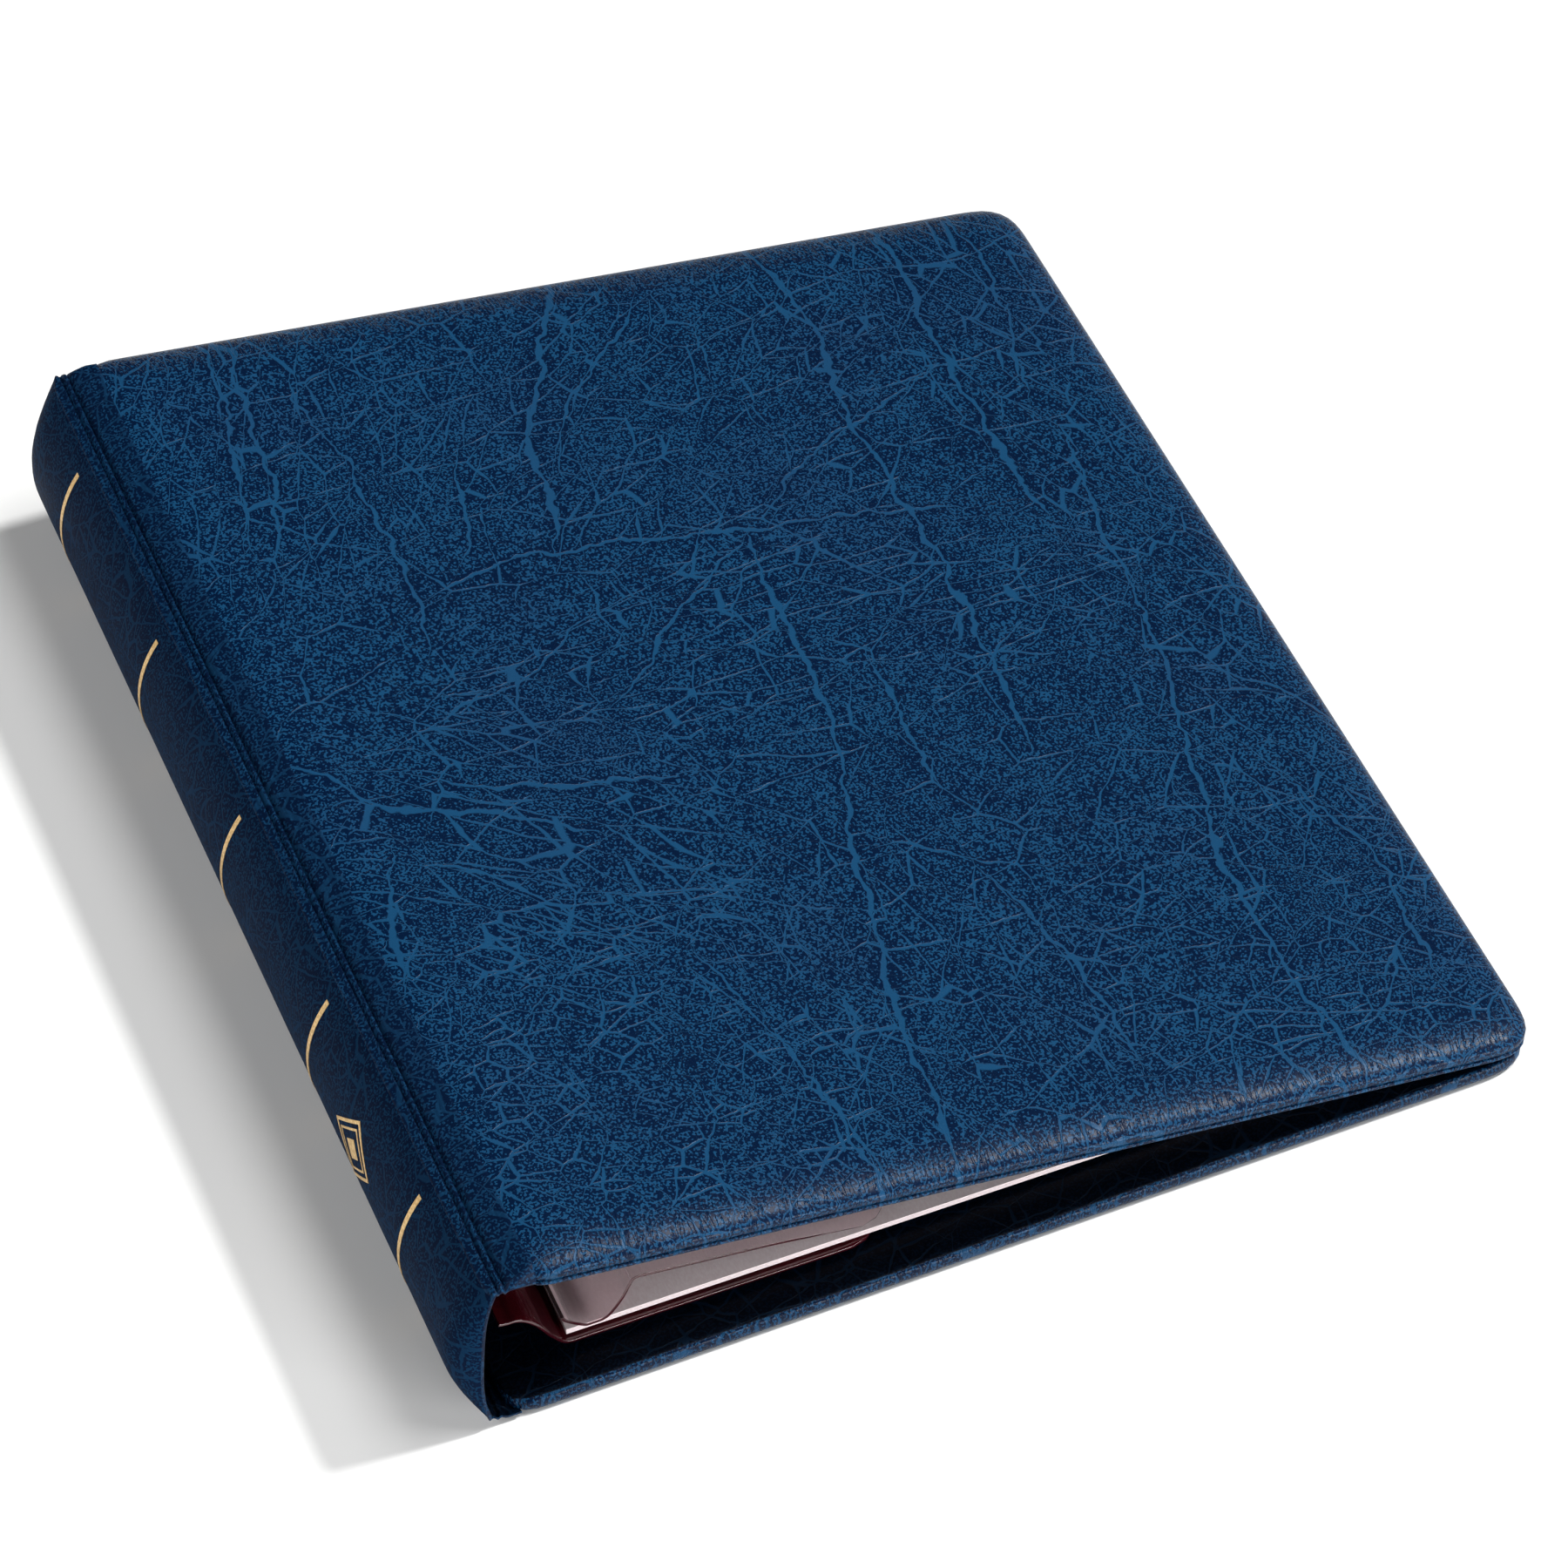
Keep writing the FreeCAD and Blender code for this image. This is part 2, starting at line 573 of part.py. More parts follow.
def mechanism():
    ring = sheet.ring_radius
    rod = (sheet.rod_level, sheet.ring_height)
    plate_end = HEIGHT - sheet.plate_start

    # Fixed lower halves: each is an arc with a straight foot that passes through the base plate.
    foot_angle = 180 + math.degrees(math.asin(sheet.foot_offset / ring))
    foot_x = RING_LEVEL - math.sqrt(ring ** 2 - sheet.foot_offset ** 2)
    foot_z = sheet.ring_height - sheet.foot_offset
    halves = []
    for number, station in enumerate(RING_STATIONS):
        lower = ring_arc(f"lower_arc_{number}", station, foot_angle, 360 + sheet.ring_split)
        knee = document.addObject("Part::Sphere", f"lower_knee_{number}")
        knee.Placement.Base = V(foot_x, station, foot_z)
        bind(knee, Radius="Sizes.ring_wire")
        foot = cylinder_x(f"lower_foot_{number}", "Sizes.ring_wire", sheet.spine_inner_level, foot_x,
                          station, foot_z)
        halves.append(fuse(f"lower_half_{number}", [lower, knee, foot]))
    keep(group("lower_halves", halves), "ring_lower_halves", SPINE_FRAME)

    # Base plate with an ear at each end that holds the pivot rod.
    plate = document.addObject("Part::Box", "plate_strip")
    plate.Placement.Base = V(sheet.spine_inner_level, sheet.plate_start,
                             sheet.ring_height - sheet.plate_width / 2)
    bind(plate, Length="Sizes.plate_thickness", Height="Sizes.plate_width",
         Width="Sizes.album_height - 2 * Sizes.plate_start")
    ears = []
    for number, low in enumerate((sheet.ear_start, HEIGHT - sheet.ear_start - sheet.ear_thickness)):
        ear = document.addObject("Part::Box", f"ear_{number}")
        ear.Placement.Base = V(sheet.spine_inner_level, low, sheet.ring_height - sheet.ear_width / 2)
        ear.Length = sheet.ear_top - sheet.spine_inner_level
        bind(ear, Width="Sizes.ear_thickness", Height="Sizes.ear_width")
        ears.append(ear)
    blank = fuse("plate_blank", [plate] + ears)
    feet = [cylinder_x(f"foot_hole_{number}", "Sizes.ring_wire", BOARD_OUTER_LEVEL, foot_x,
                       station, foot_z)
            for number, station in enumerate(RING_STATIONS)]
    rod_hole = cylinder_y("rod_hole", "Sizes.rod_radius", 0.0, HEIGHT, *rod)
    drills = group("plate_drills", feet + [rod_hole, rivet_bars("plate", BOARD_OUTER_LEVEL, foot_x)])
    keep(cut("base_plate", blank, drills), "mechanism_base_plate", SPINE_FRAME)

    bar = cylinder_y("rod_bar", "Sizes.rod_radius", sheet.ear_start - sheet.rod_end,
                     HEIGHT - sheet.ear_start + sheet.rod_end, *rod)
    keep(bar, "ring_pivot_rod", SPINE_FRAME)

    rivets = []
    for number, (y, z) in enumerate(rivet_places()):
        shank = cylinder_x(f"rivet_shank_{number}", "Sizes.rivet_radius", BOARD_OUTER_LEVEL,
                           PLATE_LEVEL, y, z)
        head = document.addObject("Part::Cone", f"rivet_head_{number}")
        head.Placement = FreeCAD.Placement(V(PLATE_LEVEL, y, z), FreeCAD.Rotation(AXIS_Y, 90))
        bind(head, Radius1="Sizes.rivet_head", Radius2="Sizes.rivet_radius",
             Height="Sizes.rivet_head_height")
        rivets.append(fuse(f"rivet_{number}", [shank, head]))
    keep(group("rivets", rivets), "mechanism_rivets", SPINE_FRAME)

    # Opening upper halves, welded into a tube that turns on the rod.
    upper_start = sheet.ring_split + sheet.split_gap
    uppers = [ring_arc(f"upper_arc_{number}", station, upper_start, sheet.wire_end_angle)
              for number, station in enumerate(RING_STATIONS)]
    bore = cylinder_y("tube_bore_gap", "Sizes.rod_radius + Sizes.tube_clearance", 0.0, HEIGHT, *rod)
    upper_group = cut("upper_halves", group("upper_arcs", uppers), bore)
    keep(upper_group, "ring_upper_halves", SPINE_FRAME)

    tube_out = cylinder_y("tube_outside", "Sizes.tube_radius", sheet.tube_start,
                          HEIGHT - sheet.tube_start, *rod)
    tube_in = cylinder_y("tube_inside", "Sizes.rod_radius + Sizes.tube_clearance", 0.0, HEIGHT, *rod)
    wires = group("tube_wire_holes", [
        ring_arc(f"wire_hole_{number}", station, upper_start, sheet.wire_end_angle)
        for number, station in enumerate(RING_STATIONS)])
    tube = cut("tube_drilled", cut("tube_hollow", tube_out, tube_in), wires)
    keep(tube, "ring_swing_tube", SPINE_FRAME)

    for name, low in (("ring_lever_bottom", sheet.lever_start),
                      ("ring_lever_top", HEIGHT - sheet.lever_start - sheet.lever_width)):
        keep(lever(name, low, tube_out), name, SPINE_FRAME)

    coils = []
    for low in (sheet.ear_start + sheet.ear_thickness, HEIGHT - sheet.tube_start):
        start = low + sheet.spring_clearance
        helix = Part.makeHelix(sheet.spring_turn_pitch, sheet.spring_length, sheet.spring_radius)
        section = Part.Wire(Part.makeCircle(sheet.spring_wire, V(sheet.spring_radius, 0, 0), AXIS_Y))
        coil = Part.Wire(helix.Edges).makePipeShell([section], True, True)
        coil.Placement = FreeCAD.Placement(V(rod[0], start, rod[1]), FreeCAD.Rotation(AXIS_X, -90))
        coils.append(coil)
    springs = document.addObject("Part::Feature", "springs")
    springs.Shape = Part.makeCompound(coils)
    keep(springs, "closing_springs", SPINE_FRAME)


def lever(name, low, tube):
    """A thumb lever: a curved arm that follows the rings, with a small lip at its tip."""
    reach = sheet.wire_end_angle - sheet.lever_tip_angle

    def sector(suffix, radius, angle):
        item = document.addObject("Part::Cylinder", name + suffix)
        item.Placement = ring_placement(low + sheet.lever_width, sheet.lever_tip_angle)
        item.Angle = angle
        bind(item, Radius=radius, Height="Sizes.lever_width")
        return item

    outside = sector("_outside", "Sizes.ring_radius + Sizes.lever_half_thickness", reach)
    lip = sector("_lip", "Sizes.ring_radius + Sizes.lever_half_thickness + Sizes.lever_lip",
                 sheet.lever_lip_angle)
    inside = document.addObject("Part::Cylinder", name + "_inside")
    inside.Placement = ring_placement(low + sheet.lever_width + 1, 0)
    bind(inside, Radius="Sizes.ring_radius - Sizes.lever_half_thickness", Height="Sizes.lever_width + 2")
    arm = cut(name + "_arm", fuse(name + "_blank", [outside, lip]), inside)
    seat = cylinder_y(name + "_seat", "Sizes.tube_radius", low - 1, low + sheet.lever_width + 1,
                      sheet.rod_level, sheet.ring_height)
    return cut(name + "_solid", arm, seat)


def leaf(name, index):
    """A punched leaf; each hole is as long as a slanting ring wire needs at that level."""
    level = sheet.leaf_stack_level + index * sheet.leaf_step
    drop = -(level + sheet.leaf_thickness / 2)
    centre = math.sqrt(sheet.ring_radius ** 2 - drop ** 2)
    steepness = centre / sheet.ring_radius
    half = (sheet.ring_wire / steepness + sheet.leaf_thickness * drop / centre / 2
            + sheet.hole_clearance)
    body = slab(name + "_body", "Sizes.leaf_left", "Sizes.leaf_foot", "Sizes.leaf_width",
                "Sizes.leaf_length", f"Sizes.leaf_stack_level + {index} * Sizes.leaf_step",
                "Sizes.leaf_thickness", None)
    holes = sketch_on(body, "XY_Plane", name + "_holes")
    for number in range(4):
        rectangle(holes, str(centre - half),
                  f"Sizes.album_height / 2 + {number - 1.5} * Sizes.ring_pitch - Sizes.hole_width / 2",
                  str(2 * half), "Sizes.hole_width")
    punch(body, holes, name)
    keep(body, name, LEAF_FRAME)


def punch(body, sketch, name):
    """Cuts a sketch right through the body and makes sure that it did."""
    before = body.Shape.Volume
    pocket = body.newObject("PartDesign::Pocket", name + "_punched")
    pocket.Profile = sketch
    pocket.Type = "ThroughAll"
    pocket.Midplane = True
    document.recompute()
    if body.Shape.Volume > before - 1.0:
        raise RuntimeError(name + " was not punched")


def lifter(name, label, spine_points, slot_low, slot_high, corner, frame):
    """A bent plastic sheet lifter with a slot round each ring."""
    path = Part.makePolygon([V(x, sheet.lifter_foot, z) for x, z in spine_points])
    ribbon = path.makeOffset2D(sheet.lifter_thickness / 2, 0, False, False, False)
    solid = Part.Face(ribbon).extrude(V(0, sheet.lifter_length, 0))
    slot_half = sheet.lifter_slot_width / 2
    for station in RING_STATIONS:
        slot = Part.makeBox(slot_high - slot_low, 2 * slot_half, 60,
                            V(slot_low, station - slot_half, -30))
        solid = solid.cut(slot)
    far = solid.BoundBox.XMax
    for low in (sheet.lifter_foot, sheet.lifter_foot + sheet.lifter_length):
        inward = 1 if low == sheet.lifter_foot else -1
        square = Part.makeBox(corner, corner, 60, V(far - corner, min(low, low + inward * corner), -30))
        disc = Part.makeCylinder(corner, 60, V(far - corner, low + inward * corner, -30))
        solid = solid.cut(square.cut(disc))
    item = document.addObject("Part::Feature", name)
    item.Shape = solid.Solids[0]
    keep(item, label, frame)


cover("front", FRONT_FRAME)
cover("back", BACK_FRAME)
spine()
gold_foil()
mechanism()
for place, leaf_name in enumerate(("lower_leaf", "middle_leaf", "upper_leaf")):
    leaf(leaf_name, place)

# Lip outlines, X and Z from the ring centre: inside the rings, round under them, then out flat.
back_lip = [(-12.2, 0.0), (-9.9, -0.5), (-7.8, -0.6), (-5.3, -2.0), (-2.6, -5.1), (0.4, -10.2),
            (3.4, -14.2), (5.5, -15.2), (84.0, -15.2)]
lifter("back_lifter", "back_sheet_lifter", back_lip, 0.2, 9.6, sheet.lifter_corner, LEAF_FRAME)
front_lip = [(3.3, -5.2), (4.4, -7.0), (8.4, -10.4), (10.5, -10.9), (13.8, -10.6), (16.0, -8.5),
             (18.3, -5.0), (20.0, -1.4), (21.0, 0.5), (22.6, 0.9), (86.3, -9.6)]
lifter("front_lifter", "front_sheet_lifter", front_lip, 7.4, 23.4, sheet.lifter_corner, LIFTER_FRAME)

document.recompute()
for item in document.Objects:
    if "Invalid" in item.State or "Error" in item.State:
        raise RuntimeError(f"{item.Label} failed: {item.State}")
os.makedirs("parts", exist_ok=True)
bounds = FreeCAD.BoundBox()
for item in PARTS:
    shape = item.Shape
    if shape.isNull() or not shape.isValid() or not shape.Solids:
        raise RuntimeError(item.Label + " has no valid solid")
    shape.exportStep(os.path.join("parts", item.Label + ".step"))
    bounds.add(shape.BoundBox)
    print(f"{item.Label}: {len(shape.Solids)} solid(s), {shape.Volume:.0f} mm3")
print("bounds", bounds)
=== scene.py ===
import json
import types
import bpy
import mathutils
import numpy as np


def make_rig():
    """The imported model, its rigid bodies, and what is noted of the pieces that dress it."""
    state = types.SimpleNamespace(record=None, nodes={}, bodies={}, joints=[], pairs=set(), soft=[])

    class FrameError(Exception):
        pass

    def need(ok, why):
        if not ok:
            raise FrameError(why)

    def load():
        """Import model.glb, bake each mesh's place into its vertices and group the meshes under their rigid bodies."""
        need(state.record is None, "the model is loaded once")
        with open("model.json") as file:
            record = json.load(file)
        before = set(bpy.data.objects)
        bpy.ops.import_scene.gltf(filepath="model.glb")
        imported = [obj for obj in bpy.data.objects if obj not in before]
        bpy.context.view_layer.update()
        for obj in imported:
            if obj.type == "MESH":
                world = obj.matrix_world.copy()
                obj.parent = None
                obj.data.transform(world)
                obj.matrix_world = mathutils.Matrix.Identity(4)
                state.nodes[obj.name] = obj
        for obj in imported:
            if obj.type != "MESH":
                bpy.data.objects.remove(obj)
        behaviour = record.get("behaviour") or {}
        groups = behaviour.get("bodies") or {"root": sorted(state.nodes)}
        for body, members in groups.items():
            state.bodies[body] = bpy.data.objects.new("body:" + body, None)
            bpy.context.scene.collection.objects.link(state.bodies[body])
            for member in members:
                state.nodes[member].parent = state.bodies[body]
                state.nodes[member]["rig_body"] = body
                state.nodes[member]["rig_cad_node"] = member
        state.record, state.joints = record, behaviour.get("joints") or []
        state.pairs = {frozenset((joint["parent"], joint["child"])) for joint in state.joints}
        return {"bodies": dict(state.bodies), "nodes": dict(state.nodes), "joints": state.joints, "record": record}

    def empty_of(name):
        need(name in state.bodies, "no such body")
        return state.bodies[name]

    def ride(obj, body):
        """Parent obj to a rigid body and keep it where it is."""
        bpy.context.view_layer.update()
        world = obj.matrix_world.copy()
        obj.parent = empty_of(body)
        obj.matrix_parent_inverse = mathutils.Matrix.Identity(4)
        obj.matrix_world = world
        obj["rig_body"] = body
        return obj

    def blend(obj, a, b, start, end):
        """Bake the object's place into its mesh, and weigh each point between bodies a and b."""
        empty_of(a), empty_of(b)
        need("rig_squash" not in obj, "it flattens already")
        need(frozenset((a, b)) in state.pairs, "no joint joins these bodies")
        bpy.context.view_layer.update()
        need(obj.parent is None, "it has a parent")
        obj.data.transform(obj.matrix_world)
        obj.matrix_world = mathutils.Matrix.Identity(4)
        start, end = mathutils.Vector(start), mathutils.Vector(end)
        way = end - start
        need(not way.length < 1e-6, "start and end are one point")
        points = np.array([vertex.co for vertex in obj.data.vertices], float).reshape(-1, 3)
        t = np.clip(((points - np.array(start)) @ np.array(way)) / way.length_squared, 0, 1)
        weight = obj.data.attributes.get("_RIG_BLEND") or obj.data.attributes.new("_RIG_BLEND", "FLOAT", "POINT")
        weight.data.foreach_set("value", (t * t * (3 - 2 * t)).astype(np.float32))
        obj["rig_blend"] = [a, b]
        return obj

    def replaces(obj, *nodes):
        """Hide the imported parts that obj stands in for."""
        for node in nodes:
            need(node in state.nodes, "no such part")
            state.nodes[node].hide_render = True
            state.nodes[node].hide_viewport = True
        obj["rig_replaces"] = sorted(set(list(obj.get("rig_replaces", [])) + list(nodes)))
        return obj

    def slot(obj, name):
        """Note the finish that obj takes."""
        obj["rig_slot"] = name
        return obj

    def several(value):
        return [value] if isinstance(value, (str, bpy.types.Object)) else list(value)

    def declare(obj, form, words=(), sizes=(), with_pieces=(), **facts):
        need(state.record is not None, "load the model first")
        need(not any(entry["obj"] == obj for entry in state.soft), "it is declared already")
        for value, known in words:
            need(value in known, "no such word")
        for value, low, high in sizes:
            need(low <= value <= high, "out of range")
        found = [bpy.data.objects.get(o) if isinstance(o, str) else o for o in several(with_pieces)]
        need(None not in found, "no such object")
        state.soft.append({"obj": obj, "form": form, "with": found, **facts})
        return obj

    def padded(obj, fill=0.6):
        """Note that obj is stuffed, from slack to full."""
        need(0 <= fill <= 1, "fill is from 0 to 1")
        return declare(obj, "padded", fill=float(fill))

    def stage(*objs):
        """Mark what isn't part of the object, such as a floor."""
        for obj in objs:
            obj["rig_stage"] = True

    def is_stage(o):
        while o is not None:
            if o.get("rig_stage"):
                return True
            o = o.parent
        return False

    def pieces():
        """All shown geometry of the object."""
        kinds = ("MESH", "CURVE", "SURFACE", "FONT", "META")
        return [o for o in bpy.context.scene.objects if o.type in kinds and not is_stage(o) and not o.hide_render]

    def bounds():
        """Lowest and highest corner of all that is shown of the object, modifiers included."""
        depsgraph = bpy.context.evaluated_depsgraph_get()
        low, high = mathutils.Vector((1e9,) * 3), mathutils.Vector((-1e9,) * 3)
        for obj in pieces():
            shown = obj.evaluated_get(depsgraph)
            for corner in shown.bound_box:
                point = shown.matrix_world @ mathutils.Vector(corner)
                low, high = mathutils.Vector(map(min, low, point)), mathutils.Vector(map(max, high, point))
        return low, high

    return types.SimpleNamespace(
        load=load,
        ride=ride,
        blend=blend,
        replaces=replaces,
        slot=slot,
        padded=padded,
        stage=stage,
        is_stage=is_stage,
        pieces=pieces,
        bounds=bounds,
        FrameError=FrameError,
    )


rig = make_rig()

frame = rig.load()

import json
import math

import bmesh
import bpy
from mathutils import Vector, noise

low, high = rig.bounds()
SIZE_FILE = "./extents.json"
SIZES = {"cad": [list(low), list(high)]}

# All lengths below are in millimetres and are turned into metres where a mesh is made.
MM = 0.001
HEIGHT = 317.0
FOOT = -HEIGHT / 2
FRONT_TILT = math.radians(9.36)
HINGES = {joint["name"]: Vector(joint["pos_m"]) / MM for joint in frame["joints"]}
BACK_HINGE = HINGES["spine_hinge"]
FRONT_HINGE = HINGES["front_cover_hinge"]
RING_CENTRE = HINGES["leaves_on_rings"]
CHORD = (FRONT_HINGE - BACK_HINGE).length
LEAN = math.atan2(FRONT_HINGE.x - BACK_HINGE.x, FRONT_HINGE.z - BACK_HINGE.z)


def turned(origin, angle, along, y, out):
    """A point of a local frame that is turned by angle about +Y at origin."""
    c, s = math.cos(angle), math.sin(angle)
    return Vector((origin.x + along * c + out * s, FOOT + y, origin.z - along * s + out * c)) * MM


def on_front(along, y, out):
    return turned(FRONT_HINGE, FRONT_TILT, along, y, out)


def on_back(along, y, out):
    return Vector((BACK_HINGE.x + along, FOOT + y, BACK_HINGE.z - out)) * MM


def on_spine(inward, y, up):
    return turned(BACK_HINGE, LEAN, inward, y, up)


# ---------------------------------------------------------------- node graphs

# Divides the height out of coordinates that should lie in a plane.
FLATTENED = 1e5
# The mix node has one set of sockets for each type of data; these are its colours.
COLOUR_INPUTS = (6, 7)
COLOUR_RESULT = 2


class Number:
    """A value in a node graph, with the usual arithmetic."""

    def __init__(self, graph, socket):
        self.graph, self.socket = graph, socket

    def __add__(self, other):
        return self.graph.math("ADD", self, other)

    def __sub__(self, other):
        return self.graph.math("SUBTRACT", self, other)

    def __rsub__(self, other):
        return self.graph.math("SUBTRACT", other, self)

    def __mul__(self, other):
        return self.graph.math("MULTIPLY", self, other)

    def __truediv__(self, other):
        return self.graph.math("DIVIDE", self, other)

    __radd__, __rmul__ = __add__, __mul__

    def size(self):
        return self.graph.math("ABSOLUTE", self)

    def least(self, other):
        return self.graph.math("MINIMUM", self, other)

    def most(self, other):
        return self.graph.math("MAXIMUM", self, other)

    def step(self, start, end, low=0.0, high=1.0):
        """Smooth change from low at start to high at end."""
        node = self.graph.node("ShaderNodeMapRange", interpolation_type="SMOOTHSTEP")
        self.graph.feed(node.inputs["Value"], self)
        for name, value in (("From Min", start), ("From Max", end), ("To Min", low), ("To Max", high)):
            self.graph.feed(node.inputs[name], value)
        return Number(self.graph, node.outputs["Result"])


class Graph:
    """One material and short names for the nodes that these materials use."""

    def __init__(self, name):
        self.material = bpy.data.materials.new(name)
        self.material.use_nodes = True
        self.tree = self.material.node_tree
        self.tree.nodes.clear()
        self.output = self.node("ShaderNodeOutputMaterial")

    def node(self, kind, **settings):
        node = self.tree.nodes.new(kind)
        for name, value in settings.items():
            setattr(node, name, value)
        return node

    def feed(self, socket, value):
        if isinstance(value, Number):
            value = value.socket
        if isinstance(value, bpy.types.NodeSocket):
            self.tree.links.new(value, socket)
        else:
            socket.default_value = value

    def math(self, operation, first, second=None):
        node = self.node("ShaderNodeMath", operation=operation)
        self.feed(node.inputs[0], first)
        if second is not None:
            self.feed(node.inputs[1], second)
        return Number(self, node.outputs[0])

    def place(self, origin=(0, 0, 0), tilt=0.0):
        """Millimetre coordinates in a frame at origin (millimetres) that is turned by tilt about +Y."""
        coords = self.node("ShaderNodeTexCoord")
        mapping = self.node("ShaderNodeMapping", vector_type="TEXTURE")
        self.feed(mapping.inputs["Vector"], coords.outputs["Object"])
        mapping.inputs["Location"].default_value = [value * MM for value in origin]
        mapping.inputs["Rotation"].default_value = (0, tilt, 0)
        mapping.inputs["Scale"].default_value = (MM, MM, MM)
        return mapping.outputs["Vector"]

    def scaled(self, vector, scale):
        """vector times scale, axis by axis."""
        mapping = self.node("ShaderNodeMapping", vector_type="POINT")
        self.feed(mapping.inputs["Vector"], vector)
        mapping.inputs["Scale"].default_value = scale
        return mapping.outputs["Vector"]

    def split(self, vector):
        node = self.node("ShaderNodeSeparateXYZ")
        self.feed(node.inputs[0], vector)
        return [Number(self, output) for output in node.outputs]

    def join(self, x, y, z):
        node = self.node("ShaderNodeCombineXYZ")
        for socket, value in zip(node.inputs, (x, y, z)):
            self.feed(socket, value)
        return node.outputs[0]

    def noise(self, vector, scale, detail=1.0, rough=0.5):
        """Smooth noise between 0 and 1, with about scale features in each unit of vector."""
        node = self.node("ShaderNodeTexNoise")
        self.feed(node.inputs["Vector"], vector)
        node.inputs["Scale"].default_value = scale
        node.inputs["Detail"].default_value = detail
        node.inputs["Roughness"].default_value = rough
        return Number(self, node.outputs["Fac"])

    def wander(self, vector, scale, amount):
        """vector moved about by a smooth noise, by up to about amount."""
        node = self.node("ShaderNodeTexNoise")
        self.feed(node.inputs["Vector"], vector)
        node.inputs["Scale"].default_value = scale
        node.inputs["Detail"].default_value = 1.0
        moved = self.node("ShaderNodeVectorMath", operation="MULTIPLY_ADD")
        self.feed(moved.inputs[0], node.outputs["Color"])
        moved.inputs[1].default_value = (2 * amount,) * 3
        moved.inputs[2].default_value = (-amount,) * 3
        total = self.node("ShaderNodeVectorMath", operation="ADD")
        self.feed(total.inputs[0], vector)
        self.feed(total.inputs[1], moved.outputs[0])
        return total.outputs[0]

    def cracks(self, vector):
        """Distance to the walls of irregular flat cells about 1 wide."""
        node = self.node("ShaderNodeTexVoronoi", feature="DISTANCE_TO_EDGE", voronoi_dimensions="2D")
        self.feed(node.inputs["Vector"], vector)
        node.inputs["Scale"].default_value = 1.0
        return Number(self, node.outputs["Distance"])

    def curve(self, share, points, straight=False):
        """A curve, smooth or straight, through points over share; both run from 0 to 1."""
        node = self.node("ShaderNodeFloatCurve")
        curve = node.mapping.curves[0]
        ordered = sorted(points)
        curve.points[0].location = ordered[0]
        curve.points[1].location = ordered[-1]
        for point in ordered[1:-1]:
            curve.points.new(*point)
        for point in curve.points:
            point.handle_type = "VECTOR" if straight else "AUTO_CLAMPED"
        node.mapping.update()
        self.feed(node.inputs["Value"], share)
        return Number(self, node.outputs["Value"])

    def framed(self, vector, middle, turn, scale):
        """Coordinates about middle, turned back by turn and divided by scale."""
        node = self.node("ShaderNodeMapping", vector_type="TEXTURE")
        self.feed(node.inputs["Vector"], vector)
        node.inputs["Location"].default_value = (*middle, 0)
        node.inputs["Rotation"].default_value = (0, 0, turn)
        node.inputs["Scale"].default_value = (*scale, FLATTENED)
        return node.outputs["Vector"]

    def length(self, vector):
        """How long vector is."""
        node = self.node("ShaderNodeVectorMath", operation="LENGTH")
        self.feed(node.inputs[0], vector)
        return Number(self, node.outputs["Value"])

    def colour(self, factor, first, second):
        """The colour that is factor of the way from first to second."""
        node = self.node("ShaderNodeMix", data_type="RGBA")
        self.feed(node.inputs["Factor"], factor)
        for socket, value in zip(COLOUR_INPUTS, (first, second)):
            self.feed(node.inputs[socket], (*value, 1) if isinstance(value, tuple) else value)
        return node.outputs[COLOUR_RESULT]

    def bump(self, height, depth):
        """A bump whose height of 1 is depth millimetres."""
        node = self.node("ShaderNodeBump")
        node.inputs["Strength"].default_value = 1.0
        node.inputs["Distance"].default_value = depth * MM
        self.feed(node.inputs["Height"], height)
        return node.outputs["Normal"]

    def surface(self, **inputs):
        """The finished surface; names are the shader's own, with _ for a space."""
        shader = self.node("ShaderNodeBsdfPrincipled")
        for name, value in inputs.items():
            socket = shader.inputs[name.replace("_", " ")]
            if isinstance(value, tuple):
                value = (*value, 1)
            self.feed(socket, value)
        self.tree.links.new(shader.outputs[0], self.output.inputs["Surface"])
        return shader


# ---------------------------------------------------------------- leather

LIGHT_BLUE = (0.0058, 0.050, 0.122)
DARK_BLUE = (0.0003, 0.0070, 0.029)
TINT = (0.013, 0.032, 0.085)

# Courses of the cover's main veins. Each has its half width, and its points in millimetres: along the
# cover from the hinge, and up from the foot. The first group runs up the cover, the second across it.
UP_VEINS = (
    (0.62, ((151, 218), (147, 198), (146, 170), (143, 142), (134, 110), (127, 82), (119, 40), (116, 2))),
    (0.60, ((191, 317), (196, 285), (194, 260), (192, 238), (193, 200), (192, 165), (188, 118))),
    (0.75, ((227, 317), (229, 302), (227, 270), (226, 232), (228, 196))),
    (0.55, ((248, 230), (240, 196), (237, 165), (235, 142), (226, 108), (218, 66), (218, 42), (222, 8))),
    (0.45, ((56, 302), (55, 284), (59, 258), (59, 220), (55, 188))),
    (0.70, ((134, 313), (117, 278), (107, 258), (104, 238), (99, 214))),
    (0.35, ((102, 217), (103, 178))),
    (0.55, ((24, 134), (16, 112), (8, 82))),
    (0.50, ((38, 317), (36, 292), (30, 262), (22, 236))),
    (0.45, ((46, 317), (40, 288), (38, 262), (30, 230))),
    (0.40, ((88, 262), (85, 250), (80, 230), (70, 214))),
    (0.40, ((250, 317), (252, 290), (246, 262), (240, 236))),
    (0.40, ((163, 168), (161, 140), (160, 108))),
    (0.45, ((158, 88), (164, 72), (168, 52), (170, 14))),
    (0.40, ((80, 84), (86, 60), (92, 40), (95, 6))),
    (0.45, ((242, 104), (250, 84), (256, 60), (254, 20))),
)
